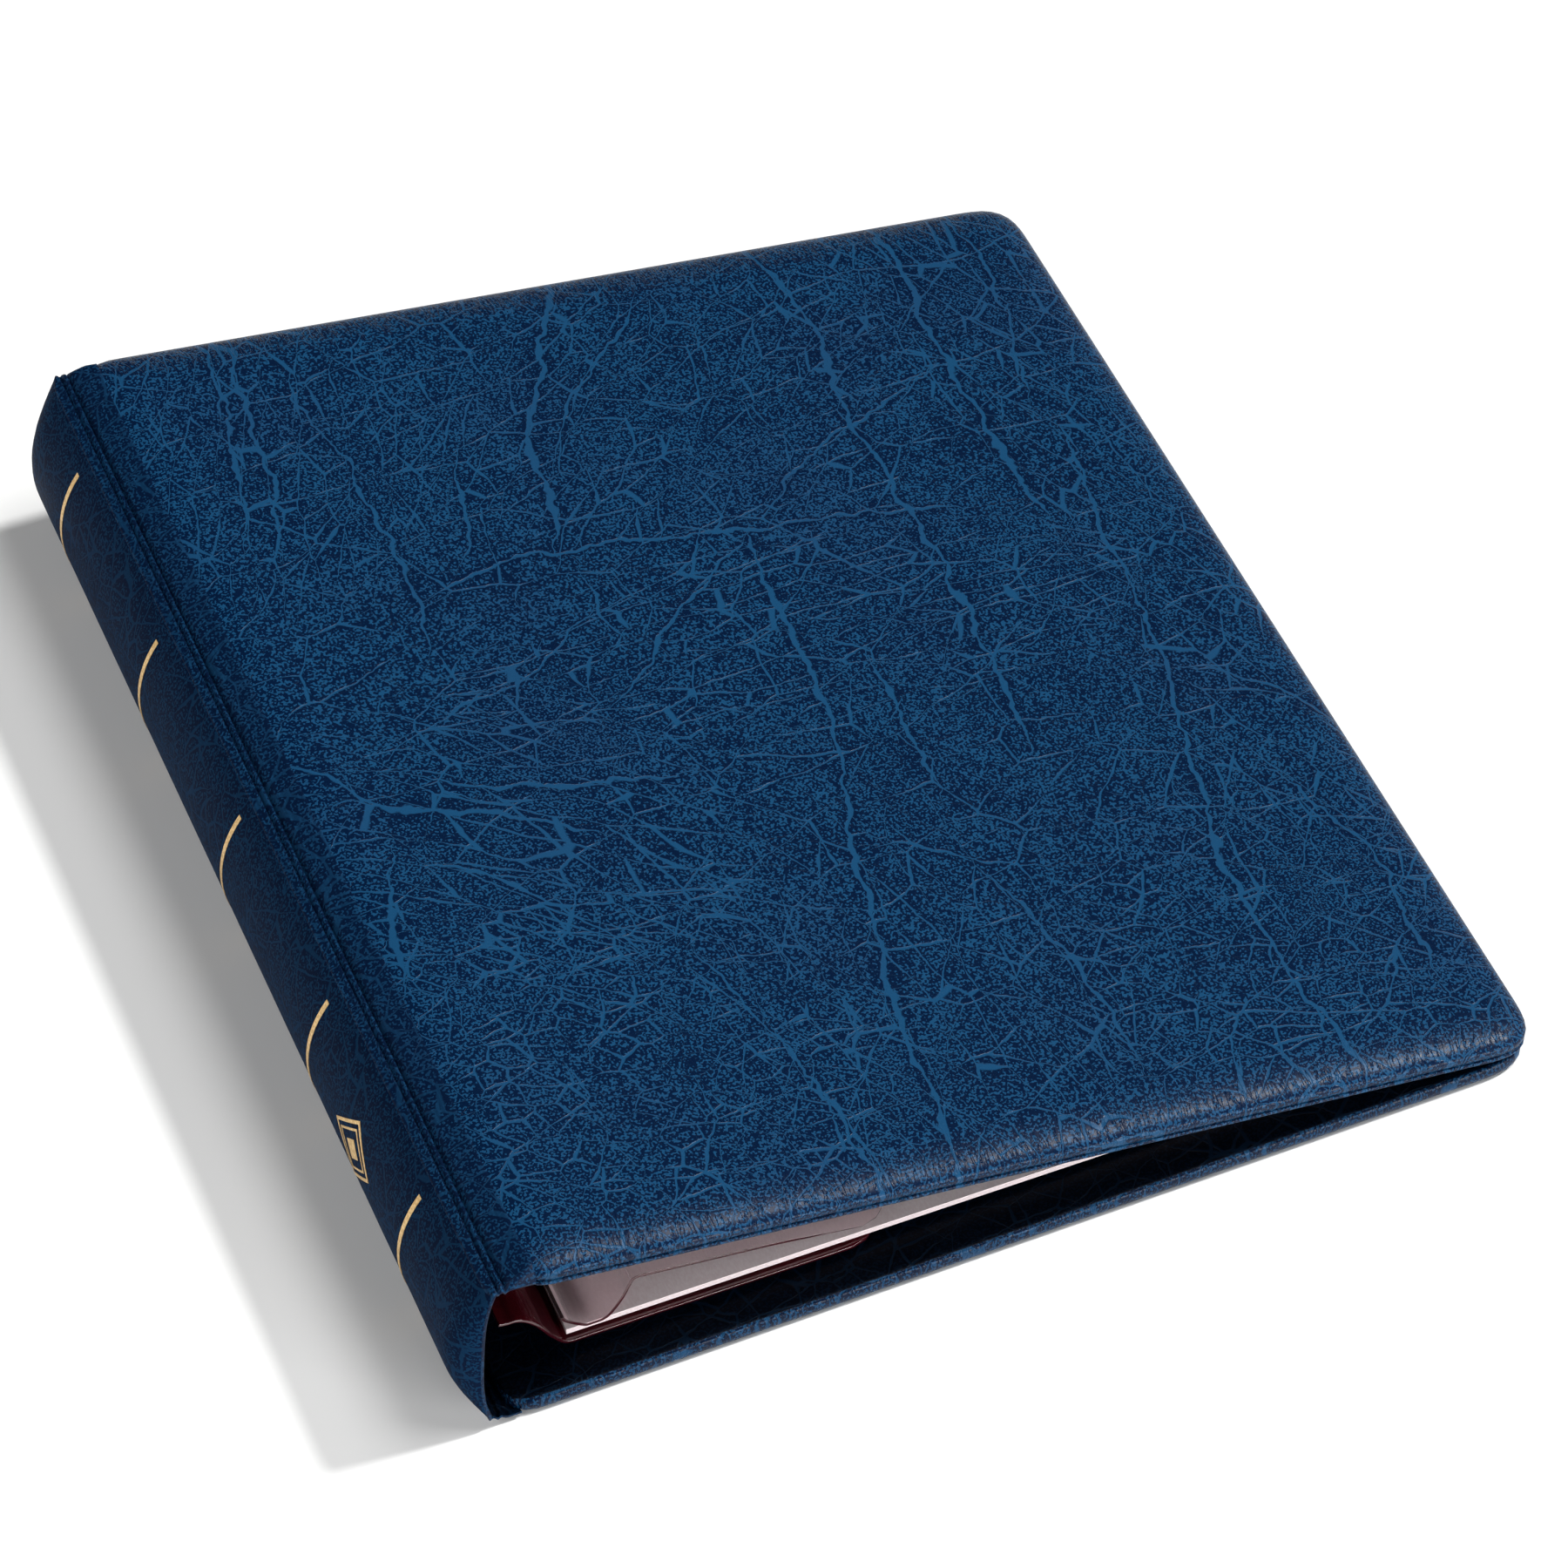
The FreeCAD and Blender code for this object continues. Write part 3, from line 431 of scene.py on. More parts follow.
CROSS_VEINS = (
    (0.45, ((58, 208), (78, 217), (95, 218), (140, 214), (175, 211), (214, 206))),
    (0.60, ((88, 162), (100, 168), (115, 184), (132, 198), (151, 214))),
    (0.75, ((6, 168), (16, 158), (27, 145), (50, 137), (78, 121))),
    (0.55, ((22, 130), (44, 115), (60, 97), (74, 74))),
    (0.50, ((234, 141), (250, 132), (263, 119))),
    (0.45, ((132, 104), (150, 97), (162, 88), (176, 84))),
    (0.50, ((28, 157), (42, 150), (58, 144), (84, 138), (108, 136))),
    (0.55, ((104, 236), (122, 268), (136, 282), (150, 296), (160, 314))),
    (0.45, ((28, 156), (50, 170), (76, 178), (104, 200))),
    (0.40, ((192, 150), (206, 158), (218, 172), (230, 196))),
    (0.40, ((150, 214), (166, 226), (184, 240), (206, 250), (226, 262))),
)
# Fields of branching cracks: direction in degrees, cell size, stretch, half width of a line, and the middle
# and reach of the field.
NETWORKS = (
    (72, 6.4, 3.0, 0.34, (34, 276), (56, 70)),
    (-34, 6.6, 3.8, 0.36, (48, 128), (78, 60)),
    (40, 8.0, 3.0, 0.32, (150, 262), (90, 62)),
    (6, 6.4, 4.0, 0.27, (150, 176), (120, 40)),
    (-64, 8.0, 3.0, 0.32, (248, 150), (34, 120)),
    (-58, 7.0, 3.0, 0.32, (236, 286), (44, 60)),
    (-20, 6.0, 1.4, 0.36, (40, 44), (96, 74)),
    (12, 7.0, 1.5, 0.30, (226, 40), (74, 70)),
    (-80, 9.0, 3.0, 0.32, (126, 50), (66, 80)),
    (20, 15.0, 1.6, 0.34, (130, 160), (400, 400)),
)
PLAIN_NETWORKS = (
    (25, 6.0, 2.4, 0.32, (130, 160), (600, 600)),
    (-50, 9.0, 2.0, 0.34, (130, 160), (600, 600)),
)

# A vein tapers over VEIN_TAPER to FREE_END of its width, but not where it starts or ends within
# AT_EDGE of the cover's edge, as a share of its length or width. COVER_REACH is a little more than
# the cover's width.
COVER_REACH = 270.0
VEIN_TAPER = 16.0
FREE_END = 0.02
AT_EDGE = 0.03


def vein_field(graph, along, up, wobble):
    """0 on a main vein and 1 or more away from it, in half widths; veins taper at their free ends."""
    nearest = None
    for lines, first, second, span, across in (
            (UP_VEINS, up / HEIGHT, (along + wobble) / COVER_REACH, HEIGHT, COVER_REACH),
            (CROSS_VEINS, along / COVER_REACH, (up + wobble) / HEIGHT, COVER_REACH, HEIGHT)):
        for half_width, points in lines:
            ordered = sorted(points if lines is CROSS_VEINS else [(y, x) for x, y in points])
            line = graph.curve(first, [(x / span, y / across) for x, y in ordered])
            starts, ends = ordered[0][0] / span, ordered[-1][0] / span
            runs_in, runs_out = starts < AT_EDGE, ends > 1 - AT_EDGE
            fullness = [(0.0, 1.0 if runs_in else FREE_END), (1.0, 1.0 if runs_out else FREE_END)]
            if not runs_in:
                fullness += [(starts, FREE_END), (starts + VEIN_TAPER / span, 1.0)]
            if not runs_out:
                fullness += [(ends - VEIN_TAPER / span, 1.0), (ends, FREE_END)]
            full = graph.curve(first, fullness, straight=True)
            near = (second - line).size() * (across / half_width) / full
            nearest = near if nearest is None else nearest.least(near)
    return nearest


def leather(name, origin, tilt, veins=False, grain=1.0, shade_tone=1.0, crack=1.0, rolls=False, streaks=0.0,
            gloss=0.13, dull=0.0, upright=False):
    """Printed and embossed leatherette: a fine worm-like grain, cracked cells and lighter veins.

    grain, tone and crack scale the print, its colour and its cracks; a tone below 1 darkens the colour,
    which paints shade. rolls adds creases at the foot and head, streaks darkens the print in fine
    streaks along the length, dull adds roughness, and upright is for a face that stands in the Y-Z plane.
    """
    graph = Graph(name)
    place = graph.place((origin.x, FOOT, origin.z), tilt)
    along, up, out = graph.split(place)
    if upright:
        place = graph.join(out, up, along)

    drift = graph.wander(place, 0.04, 3.0)
    jitter = graph.wander(graph.wander(drift, 0.12, 0.9), 0.5, 0.35)
    patches = graph.noise(place, 0.055, 2.0)
    density = graph.noise(drift, 0.16, 2.0)
    worms = graph.noise(place, 1.55, 0.6)

    thin_and_thick = graph.noise(place, 0.11, 1.0).step(0.32, 0.68, 0.35, 1.25)
    broken = graph.noise(place, 0.06, 2.0).step(0.34, 0.56) * 0.75 + 0.25
    lines = shade_halo = None
    for angle, cell, stretch, thick, middle, reach in (NETWORKS if veins else PLAIN_NETWORKS):
        far = graph.length(graph.framed(place, middle, 0.0, reach))
        inside = far.step(0.6, 1.05, 1.0, 0.0) * broken
        stretched = graph.framed(jitter, (0, 0), math.radians(angle), (cell * stretch, cell))
        # distance from the nearest line in its half widths; the small term keeps the division finite
        ratio = graph.cracks(stretched) / (inside * thin_and_thick * (thick / cell) + 0.0005)
        line = ratio.step(0.55, 1.15, crack, 0.0)
        # painted shade: a dark halo beside each crack line, where the print is thinned out
        beside = ratio.step(1.0, 5.0, 0.85, 0.0) * inside
        lines = line if lines is None else lines.most(line)
        shade_halo = beside if shade_halo is None else shade_halo.most(beside)
    if veins:
        wobble = (graph.noise(place, 0.10, 1.0) - 0.5) * 7.0 + (graph.noise(place, 0.45, 1.0) - 0.5) * 1.6
        width = graph.noise(place, 0.14, 1.0).step(0.3, 0.7, 0.55, 1.25)
        nearest = vein_field(graph, along, up, wobble) / (width * 1.25)
        lines = lines.most(nearest.step(0.75, 1.25, 1.0, 0.0))
        # painted shade: a dark halo beside each main vein
        shade_halo = shade_halo.most(nearest.step(1.3, 5.0, 1.0, 0.0))

    # the print: worms of light blue over navy, thinned out beside the veins and cracks, which paints shade along them
    bar = 0.532 - (density - 0.5) * 0.12 + shade_halo * 0.10 - (patches - 0.5) * 0.13
    marks = (worms - bar).step(-0.030, 0.035) * grain
    light = marks.most(lines).least(1.0)
    if streaks:
        fine = graph.noise(graph.scaled(place, (1.0, 0.018, 1.0)), 1.1, 2.0)
        light = light * fine.step(0.42, 0.62, 1.0 - streaks, 1.0)
    tinted = graph.colour(graph.noise(place, 0.02, 2.0).step(0.45, 0.75, 0.0, 0.25), LIGHT_BLUE, TINT)
    # painted shade: a tone below 1 darkens the navy and pulls the light colour toward it
    dark = tuple(value * shade_tone for value in DARK_BLUE)
    if shade_tone != 1.0:
        tinted = graph.colour(1.0 - shade_tone, tinted, dark)
    paint = graph.colour(light, dark, tinted)

    # the emboss: grain, sunk veins, and creases square to the padded edges
    height = marks * 0.10 - lines * 0.50 - shade_halo * 0.15 + graph.noise(place, 0.9, 2.0) * 0.25
    rough = light.step(0.0, 1.0, 0.29 + dull, 0.35 + dull)
    if rolls:
        edge = (up - HEIGHT / 2).size().step(HEIGHT / 2 - 15, HEIGHT / 2 - 5)
        pleats = graph.noise(graph.scaled(drift, (1.0, 0.10, 0.3)), 0.95, 2.0)
        pleat_lines = (pleats - 0.5).size().step(0.0, 0.06, 1.0, 0.0)
        height = height - pleat_lines * edge * 1.1
    graph.surface(Base_Color=paint, Roughness=rough, Normal=graph.bump(height, 0.12),
                  Specular_IOR_Level=gloss)
    return graph.material


# ---------------------------------------------------------------- other materials

def gold():
    graph = Graph("gold_foil")
    place = graph.place()
    wear = graph.noise(place, 1.4, 3.0)
    paint = graph.colour(wear.step(0.35, 0.7), (0.60, 0.37, 0.13), (0.86, 0.62, 0.30))
    graph.surface(Base_Color=paint, Metallic=0.55, Roughness=wear.step(0.3, 0.7, 0.34, 0.52),
                  Normal=graph.bump(graph.noise(place, 2.2, 2.0), 0.06))
    return graph.material


def nickel(name, colour, rough):
    graph = Graph(name)
    place = graph.place()
    drawn = graph.noise(graph.scaled(place, (1.0, 0.08, 1.0)), 3.0, 3.0)
    paint = graph.colour(drawn.step(0.3, 0.7), tuple(0.86 * value for value in colour), colour)
    graph.surface(Base_Color=paint, Metallic=1.0, Roughness=drawn.step(0.3, 0.7, rough, rough + 0.12),
                  Normal=graph.bump(drawn, 0.008))
    return graph.material


def paper():
    graph = Graph("leaf_card")
    place = graph.place()
    fibre = graph.noise(graph.scaled(place, (1.0, 0.45, 1.0)), 1.8, 4.0)
    cloud = graph.noise(place, 0.05, 2.0)
    # the pink in these colours is painted reddish bounce light from the wine-red sheet
    paint = graph.colour(fibre.step(0.3, 0.7), (0.88, 0.75, 0.77), (0.95, 0.84, 0.86))
    paint = graph.colour(cloud.step(0.4, 0.7, 0.0, 0.25), paint, (0.80, 0.73, 0.75))
    graph.surface(Base_Color=paint, Roughness=fibre.step(0.3, 0.7, 0.55, 0.7),
                  Normal=graph.bump(fibre, 0.03), Specular_IOR_Level=0.3)
    return graph.material


def greyboard():
    graph = Graph("pressed_board")
    place = graph.place()
    flecks = graph.noise(graph.scaled(place, (1.0, 0.5, 1.0)), 1.2, 4.0, 0.65)
    paint = graph.colour(flecks.step(0.35, 0.68), (0.27, 0.25, 0.22), (0.47, 0.44, 0.40))
    graph.surface(Base_Color=paint, Roughness=0.85, Normal=graph.bump(flecks, 0.08))
    return graph.material


def plastic(name, thin, thick, body):
    """Clear sheet: mostly see-through with a glossy face; body is how much of its own colour shows."""
    graph = Graph(name)
    place = graph.place()
    cloud = graph.noise(place, 0.06, 2.0)
    paint = graph.colour(cloud.step(0.35, 0.7), thin, thick)
    ripple = graph.noise(place, 0.25, 2.0)
    shader = graph.surface(Base_Color=paint, Roughness=ripple.step(0.3, 0.7, 0.06, 0.14),
                           Normal=graph.bump(ripple, 0.05), Specular_IOR_Level=0.75)
    clear = graph.node("ShaderNodeBsdfTransparent")
    graph.feed(clear.inputs["Color"], graph.colour(0.5, (1.0, 1.0, 1.0), thin))
    mix = graph.node("ShaderNodeMixShader")
    graze = graph.node("ShaderNodeLayerWeight")
    graze.inputs["Blend"].default_value = 0.12
    shown = Number(graph, graze.outputs["Fresnel"]) * (1.0 - body) + body
    graph.feed(mix.inputs[0], shown)
    graph.tree.links.new(clear.outputs[0], mix.inputs[1])
    graph.tree.links.new(shader.outputs[0], mix.inputs[2])
    graph.tree.links.new(mix.outputs[0], graph.output.inputs["Surface"])
    return graph.material


def floor_paint():
    graph = Graph("studio_floor")
    place = graph.place()
    paint = graph.colour(graph.noise(place, 0.004, 1.0), (0.88, 0.88, 0.875), (0.89, 0.89, 0.885))
    graph.surface(Base_Color=paint, Roughness=1.0, Specular_IOR_Level=0.0)
    return graph.material


FRONT_LEATHER = leather("front_leather", FRONT_HINGE, FRONT_TILT, veins=True, rolls=True)
# the back cover's leatherette, darkened by its tone: painted shade
BACK_LEATHER = leather("back_leather", BACK_HINGE + Vector((40, 0, 0)), 0.0, rolls=True, shade_tone=0.8)
# the linings are the cover's leatherette made very dark: painted shade inside the binder
SHADED_LINING_LEATHER = leather("shaded_lining_leather", BACK_HINGE + Vector((20, 0, 60)), 0.0, grain=0.6, shade_tone=0.12,
                         gloss=0.09, dull=0.1)
# the spine's leatherette, darkened by its tone: painted shade on the side away from the key light
SPINE_LEATHER = leather("spine_leather", BACK_HINGE, LEAN, grain=0.5, shade_tone=0.82, crack=0.42, gloss=0.02,
                        dull=0.25, upright=True)
# the hinge strips' leatherette, darkened by its tone: painted shade in the grooves
HINGE_LEATHER = leather("hinge_leather", FRONT_HINGE, FRONT_TILT, grain=0.8, shade_tone=0.85, crack=0.6,
                        streaks=0.35, gloss=0.08, dull=0.15)
GOLD = gold()
NICKEL = nickel("nickel_plate", (0.72, 0.71, 0.69), 0.16)
SPRING = nickel("spring_wire", (0.50, 0.50, 0.51), 0.26)
PAPER = paper()
BOARD = greyboard()
CLEAR = plastic("clear_sheet", (0.94, 0.83, 0.85), (0.86, 0.74, 0.77), 0.04)
WINE = plastic("wine_sheet", (0.070, 0.004, 0.008), (0.040, 0.002, 0.005), 0.85)
WINE_EDGE = plastic("wine_edge", (0.050, 0.004, 0.009), (0.025, 0.002, 0.005), 0.93)

CAD_MATERIALS = {
    "gold_lines": GOLD, "gold_ornament": GOLD,
    "mechanism_base_plate": NICKEL, "mechanism_rivets": NICKEL, "ring_pivot_rod": NICKEL,
    "ring_lower_halves": NICKEL, "ring_swing_tube": NICKEL, "ring_upper_halves": NICKEL,
    "ring_lever_bottom": NICKEL, "ring_lever_top": NICKEL, "closing_springs": SPRING,
    "lower_leaf": PAPER, "middle_leaf": PAPER, "upper_leaf": PAPER,
    "front_cover_board": BOARD, "back_cover_board": BOARD, "spine_board": BOARD,
}


# ---------------------------------------------------------------- meshes

# Width of the band between a pad's rim and its flat middle.
BAND = 20.0
# Points closer than this, in metres, are joined.
WELD = 1e-6


def bridge(shape, first, second, lined=False):
    """Faces between two closed loops; lined gives their second half the second material."""
    count = len(first)
    for index in range(count):
        after = (index + 1) % count
        face = shape.faces.new((first[index], first[after], second[after], second[index]))
        face.material_index = int(lined and index >= count // 2)


def sweep(shape, loops, lined=False):
    """A closed solid through loops of equal length."""
    for first, second in zip(loops, loops[1:]):
        bridge(shape, first, second, lined)
    shape.faces.new(loops[0])
    shape.faces.new(loops[-1])


def make_piece(name, mesh, body, materials, slot=None, smooth=True):
    piece = bpy.data.objects.new(name, mesh)
    bpy.context.scene.collection.objects.link(piece)
    for material in materials:
        mesh.materials.append(material)
    for polygon in mesh.polygons:
        polygon.use_smooth = smooth
    if body:
        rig.ride(piece, body)
    if slot:
        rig.slot(piece, slot)
    return piece


def to_mesh(name, build):
    mesh = bpy.data.meshes.new(name)
    shape = bmesh.new()
    build(shape)
    bmesh.ops.remove_doubles(shape, verts=shape.verts, dist=WELD)
    bmesh.ops.recalc_face_normals(shape, faces=shape.faces)
    shape.to_mesh(mesh)
    shape.free()
    return mesh


def ray_to_outline(angle, half, radius):
    """How far a ray from the middle of a corner's square goes to its rounded outline."""
    a, b = abs(math.cos(angle)), abs(math.sin(angle))
    straight = half / max(a, b)
    if straight * min(a, b) <= half - radius:
        return straight
    inner = half - radius
    middle = inner * (a + b)
    return middle + math.sqrt(max(middle ** 2 - 2 * inner ** 2 + radius ** 2, 0.0))


def padded_form(shape, box, corners, depth, top, under, place, swell, steps):
    """A closed pad. top and under are lists of (inset, level) from the rim inward, ending at depth."""
    x0, x1, y0, y1 = box
    nx, ny, arc = steps
    xs = [x0 + depth + (x1 - x0 - 2 * depth) * i / nx for i in range(nx + 1)]
    ys = [y0 + depth + (y1 - y0 - 2 * depth) * i / ny for i in range(ny + 1)]

    def loop(inset):
        """The rounded outline moved in by inset, anticlockwise."""
        sides = (
            ([(x, y0 + inset) for x in xs], (xs[-1], ys[0], -90, corners[1])),
            ([(x1 - inset, y) for y in ys], (xs[-1], ys[-1], 0, corners[1])),
            ([(x, y1 - inset) for x in reversed(xs)], (xs[0], ys[-1], 90, corners[0])),
            ([(x0 + inset, y) for y in reversed(ys)], (xs[0], ys[0], 180, corners[0])),
        )
        points = []
        for side, (cx, cy, start, radius) in sides:
            points += side
            for step in range(1, arc):
                angle = math.radians(start + 90 * step / arc)
                local = math.radians(90 * step / arc)
                far = ray_to_outline(local, depth - inset, max(radius - inset, 0.0))
                points.append((cx + far * math.cos(angle), cy + far * math.sin(angle)))
        return points

    def ring(inset, level, side):
        return [shape.verts.new(place(x, y, level + swell(x, y, inset) * side)) for x, y in loop(inset)]

    def middle(level, side):
        def lifted(x, y):
            return level + side * swell(x, y, min(x - x0, x1 - x, y - y0, y1 - y))

        grid = [[shape.verts.new(place(x, y, lifted(x, y))) for x in xs] for y in ys]
        for row in range(ny):
            for column in range(nx):
                shape.faces.new((grid[row][column], grid[row][column + 1],
                                 grid[row + 1][column + 1], grid[row + 1][column]))

    rings = [ring(inset, level, 0.0) for inset, level in reversed(under)]
    rings += [ring(inset, level, min(inset / depth, 1.0)) for inset, level in top]
    for first, second in zip(rings, rings[1:]):
        bridge(shape, first, second)
    middle(top[-1][1], 1.0)
    middle(under[-1][1], 0.0)


def round_roll(bulge_level, top_level, rim_level, run, count):
    """Cross-section of a padded edge from its weld at rim_level, out to the rim and over to the top."""
    points = []
    weld_inset, weld_count = 0.55, 4
    drop, rise = rim_level - bulge_level, top_level - bulge_level
    for step in range(weld_count):
        angle = math.radians(90 * step / weld_count)
        points.append((weld_inset * (1 - math.sin(angle)), bulge_level + drop * math.cos(angle)))
    for step in range(count + 1):
        angle = math.radians(90 * step / count)
        points.append((run * (1 - math.cos(angle)), bulge_level + rise * math.sin(angle)))
    return points


def bead(inset, level, radius, count=6):
    """A small round weld bead seen from outside, from its underside to its top."""
    return [(inset - radius * math.sin(math.radians(180 * step / count)),
             level - radius * math.cos(math.radians(180 * step / count))) for step in range(count + 1)]


def soft_noise(x, y, size, seed):
    """Noise between -1 and 1 that changes over about size millimetres."""
    return noise.noise(Vector((x / size, y / size, seed)))


def subdivide(piece):
    modifier = piece.modifiers.new("smooth", "SUBSURF")
    modifier.levels = 1
    modifier.render_levels = 1


# The front cover: a foam pad welded in leatherette, with a bead at its lower rim.
def front_swell(x, y, inset):
    """How far the front cover's padding stands out or sinks in at a point of its face."""
    inner = min(max(inset / 14.0, 0.0), 1.0)
    return inner * (0.22 * soft_noise(x, y, 55.0, 3.1) + 0.10 * soft_noise(x, y, 19.0, 7.7)) - 0.10 * inner


# A box is along from and to, and up from and to.
FRONT_BOX = (6.0, 270.05, 0.0, HEIGHT)
front_top = bead(0.42, -1.72, 0.62) + round_roll(0.7, 4.38, -1.1, 13.5, 12)
front_top += [(16.0, 4.41), (BAND, 4.42)]


def build_front(shape):
    padded_form(shape, FRONT_BOX, (2.0, 9.0), BAND, front_top, [(2.0, -1.56), (BAND, -1.56)],
                on_front, front_swell, (44, 52, 7))


front_skin = make_piece("front_padded_cover", to_mesh("front_padded_cover", build_front), "front_cover",
                        [FRONT_LEATHER], "leatherette")
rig.replaces(front_skin, "front_cover_skin", "front_foam_pad")
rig.padded(front_skin, fill=0.9)
subdivide(front_skin)

# The back cover lies on its flat outside; its rim rolls up to the lining. Its edge at the hinge
# overlaps the hinge strip.
BACK_BOX = (4.0, 269.5, 0.0, HEIGHT)


def flat_swell(x, y, inset):
    """The back cover rests on the table, so it has no swell."""
    return 0.0


back_top = [(1.9, -2.30), (1.3, -2.44), (0.75, -2.28), (0.32, -1.75), (0.08, -1.0), (0.0, -0.1)]
back_top += [(0.12, 0.75), (0.5, 1.40), (1.15, 1.80), (2.2, 1.97), (4.0, 2.0), (9.0, 2.0), (BAND, 2.0)]


def build_back(shape):
    padded_form(shape, BACK_BOX, (0.8, 9.0), BAND, back_top, [(3.0, -1.86), (BAND, -1.86)],
                on_back, flat_swell, (44, 52, 7))


back_skin = make_piece("back_padded_cover", to_mesh("back_padded_cover", build_back), "root",
                       [BACK_LEATHER], "leatherette")
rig.replaces(back_skin, "back_cover_skin", "back_foam_pad")
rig.padded(back_skin, fill=0.95)
subdivide(back_skin)


# Linings: thin sheets over the boards, with a soft rim.
def lining(name, box, outer_level, inner_level, place, body, node):
    toward = 1 if outer_level > inner_level else -1
    thickness = abs(outer_level - inner_level)
    rim = [(0.45, outer_level - toward * thickness * 0.05), (0.12, outer_level - toward * thickness * 0.3),
           (0.0, outer_level - toward * thickness * 0.55), (0.15, outer_level - toward * thickness * 0.85),
           (0.6, inner_level), (3.0, inner_level), (BAND, inner_level)]

    def ripple(x, y, inset):
        inner = min(max(inset / 10.0, 0.0), 1.0)
        return toward * inner * (0.05 + 0.06 * soft_noise(x, y, 34.0, 12.3))

    def build(shape):
        padded_form(shape, box, (3.0, 8.0), BAND, rim, [(1.0, outer_level), (BAND, outer_level)],
                    place, ripple, (40, 48, 6))

    piece = make_piece(name, to_mesh(name, build), body, [SHADED_LINING_LEATHER], "leatherette")
    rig.replaces(piece, node)
    subdivide(piece)


lining("front_inner_lining", (6.4, 269.65, 0.4, HEIGHT - 0.4), -1.58, -2.2, on_front, "front_cover",
       "front_cover_lining")
lining("back_inner_lining", (4.4, 268.1, 1.0, HEIGHT - 1.4), -1.88, -2.5, on_back, "root",
       "back_cover_lining")

# The spine: a dome between two rounded shoulders, drawn in to a thin welded rim at each end.
SPINE_MIDDLE = CHORD / 2
DOME_RADIUS, DOME_HEIGHT, SHOULDER, SHOULDER_EDGE = 36.0, 10.0, 2.6, 1.6
DOME_CENTRE = DOME_RADIUS - DOME_HEIGHT
SHOULDER_RISE = SPINE_MIDDLE - SHOULDER_EDGE - SHOULDER
SHOULDER_X = DOME_CENTRE - math.sqrt((DOME_RADIUS - SHOULDER) ** 2 - SHOULDER_RISE ** 2)
SHOULDER_TURN = math.asin(SHOULDER_RISE / (DOME_RADIUS - SHOULDER))


def dome_section(count=15, shoulder_count=8):
    """Points of the dome from its lower shoulder to its upper one, as (inward, up)."""
    points = []
    for step in range(shoulder_count):
        angle = math.radians(90) + (SHOULDER_TURN - math.radians(90)) * step / shoulder_count
        points.append((SHOULDER_X - SHOULDER * math.cos(angle),
                       SPINE_MIDDLE - SHOULDER_RISE - SHOULDER * math.sin(angle)))
    for step in range(count + 1):
        angle = SHOULDER_TURN * (2 * step / count - 1)
        points.append((DOME_CENTRE - DOME_RADIUS * math.cos(angle),
                       SPINE_MIDDLE + DOME_RADIUS * math.sin(angle)))
    mirrored = [(x, CHORD - z) for x, z in reversed(points[:shoulder_count])]
    return points + mirrored


DOME = dome_section()
TRAY_RISE, TRAY_DEPTH = 0.28, 2.85
RIM_DROP = 0.35
DRAWN_IN = 9.0
LINING_SEAT, LINING_THICKNESS = 0.02, 0.5


def tray_level(up):
    """Level of the thin inner side of the spine at a height along it."""
    share = min(abs(up - SPINE_MIDDLE) / (SPINE_MIDDLE - SHOULDER_EDGE), 1.0)
    return -TRAY_RISE - (TRAY_DEPTH - TRAY_RISE) * (1 - share ** 3.2)


def end_rim(up):
    """Level of the thin welded rim that the spine's ends are drawn in to."""
    return tray_level(up) - RIM_DROP


def spine_rows():
    """Distances from the foot at which the spine's section is laid."""
    ends = [0.0, 0.25, 0.8, 1.7, 3.0, 4.8, 7.0, 9.5, 12.5, 16.0, 21.0]
    plain = ends[-1]
    inner = [plain + (HEIGHT - 2 * plain) * step / 40 for step in range(1, 40)]
    return ends + inner + [HEIGHT - value for value in reversed(ends)]


def spine_fullness(y):
    """0 at the welded end of the spine and 1 where the dome is full."""
    share = max(min(y, HEIGHT - y), 0.0) / DRAWN_IN
    return 1.0 if share >= 1 else (1 - (1 - share) ** 2.4) ** 0.62


def build_spine(shape):
    rows = []
    for y in spine_rows():
        full = spine_fullness(y)
        row = []
        for x, z in DOME:
            rim = end_rim(z)
            level = rim + (x - rim) * full
            row.append(shape.verts.new(on_spine(level, y, z)))
        inner = [shape.verts.new(on_spine(tray_level(z) + LINING_SEAT, y, z)) for x, z in reversed(DOME)]
        rows.append(row + inner)
    sweep(shape, rows)


spine_skin = make_piece("spine_padded_cover", to_mesh("spine_padded_cover", build_spine), "spine",
                        [SPINE_LEATHER], "leatherette")
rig.replaces(spine_skin, "spine_skin", "spine_foam_pad")
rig.padded(spine_skin, fill=0.85)


def build_spine_lining(shape):
    steps = [SHOULDER_EDGE + (CHORD - 2 * SHOULDER_EDGE) * i / 28 for i in range(29)]
    rows = []
    for y in [0.3 + (HEIGHT - 0.6) * i / 24 for i in range(25)]:
        seats = [(tray_level(z) + LINING_SEAT, z) for z in steps]
        face = [shape.verts.new(on_spine(level + LINING_THICKNESS, y, z)) for level, z in seats]
        back = [shape.verts.new(on_spine(level, y, z)) for level, z in reversed(seats)]
        rows.append(face + back)
    sweep(shape, rows)


spine_lining = make_piece("spine_inner_lining", to_mesh("spine_inner_lining", build_spine_lining), "spine",
                          [SHADED_LINING_LEATHER], "leatherette")
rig.replaces(spine_lining, "spine_lining")


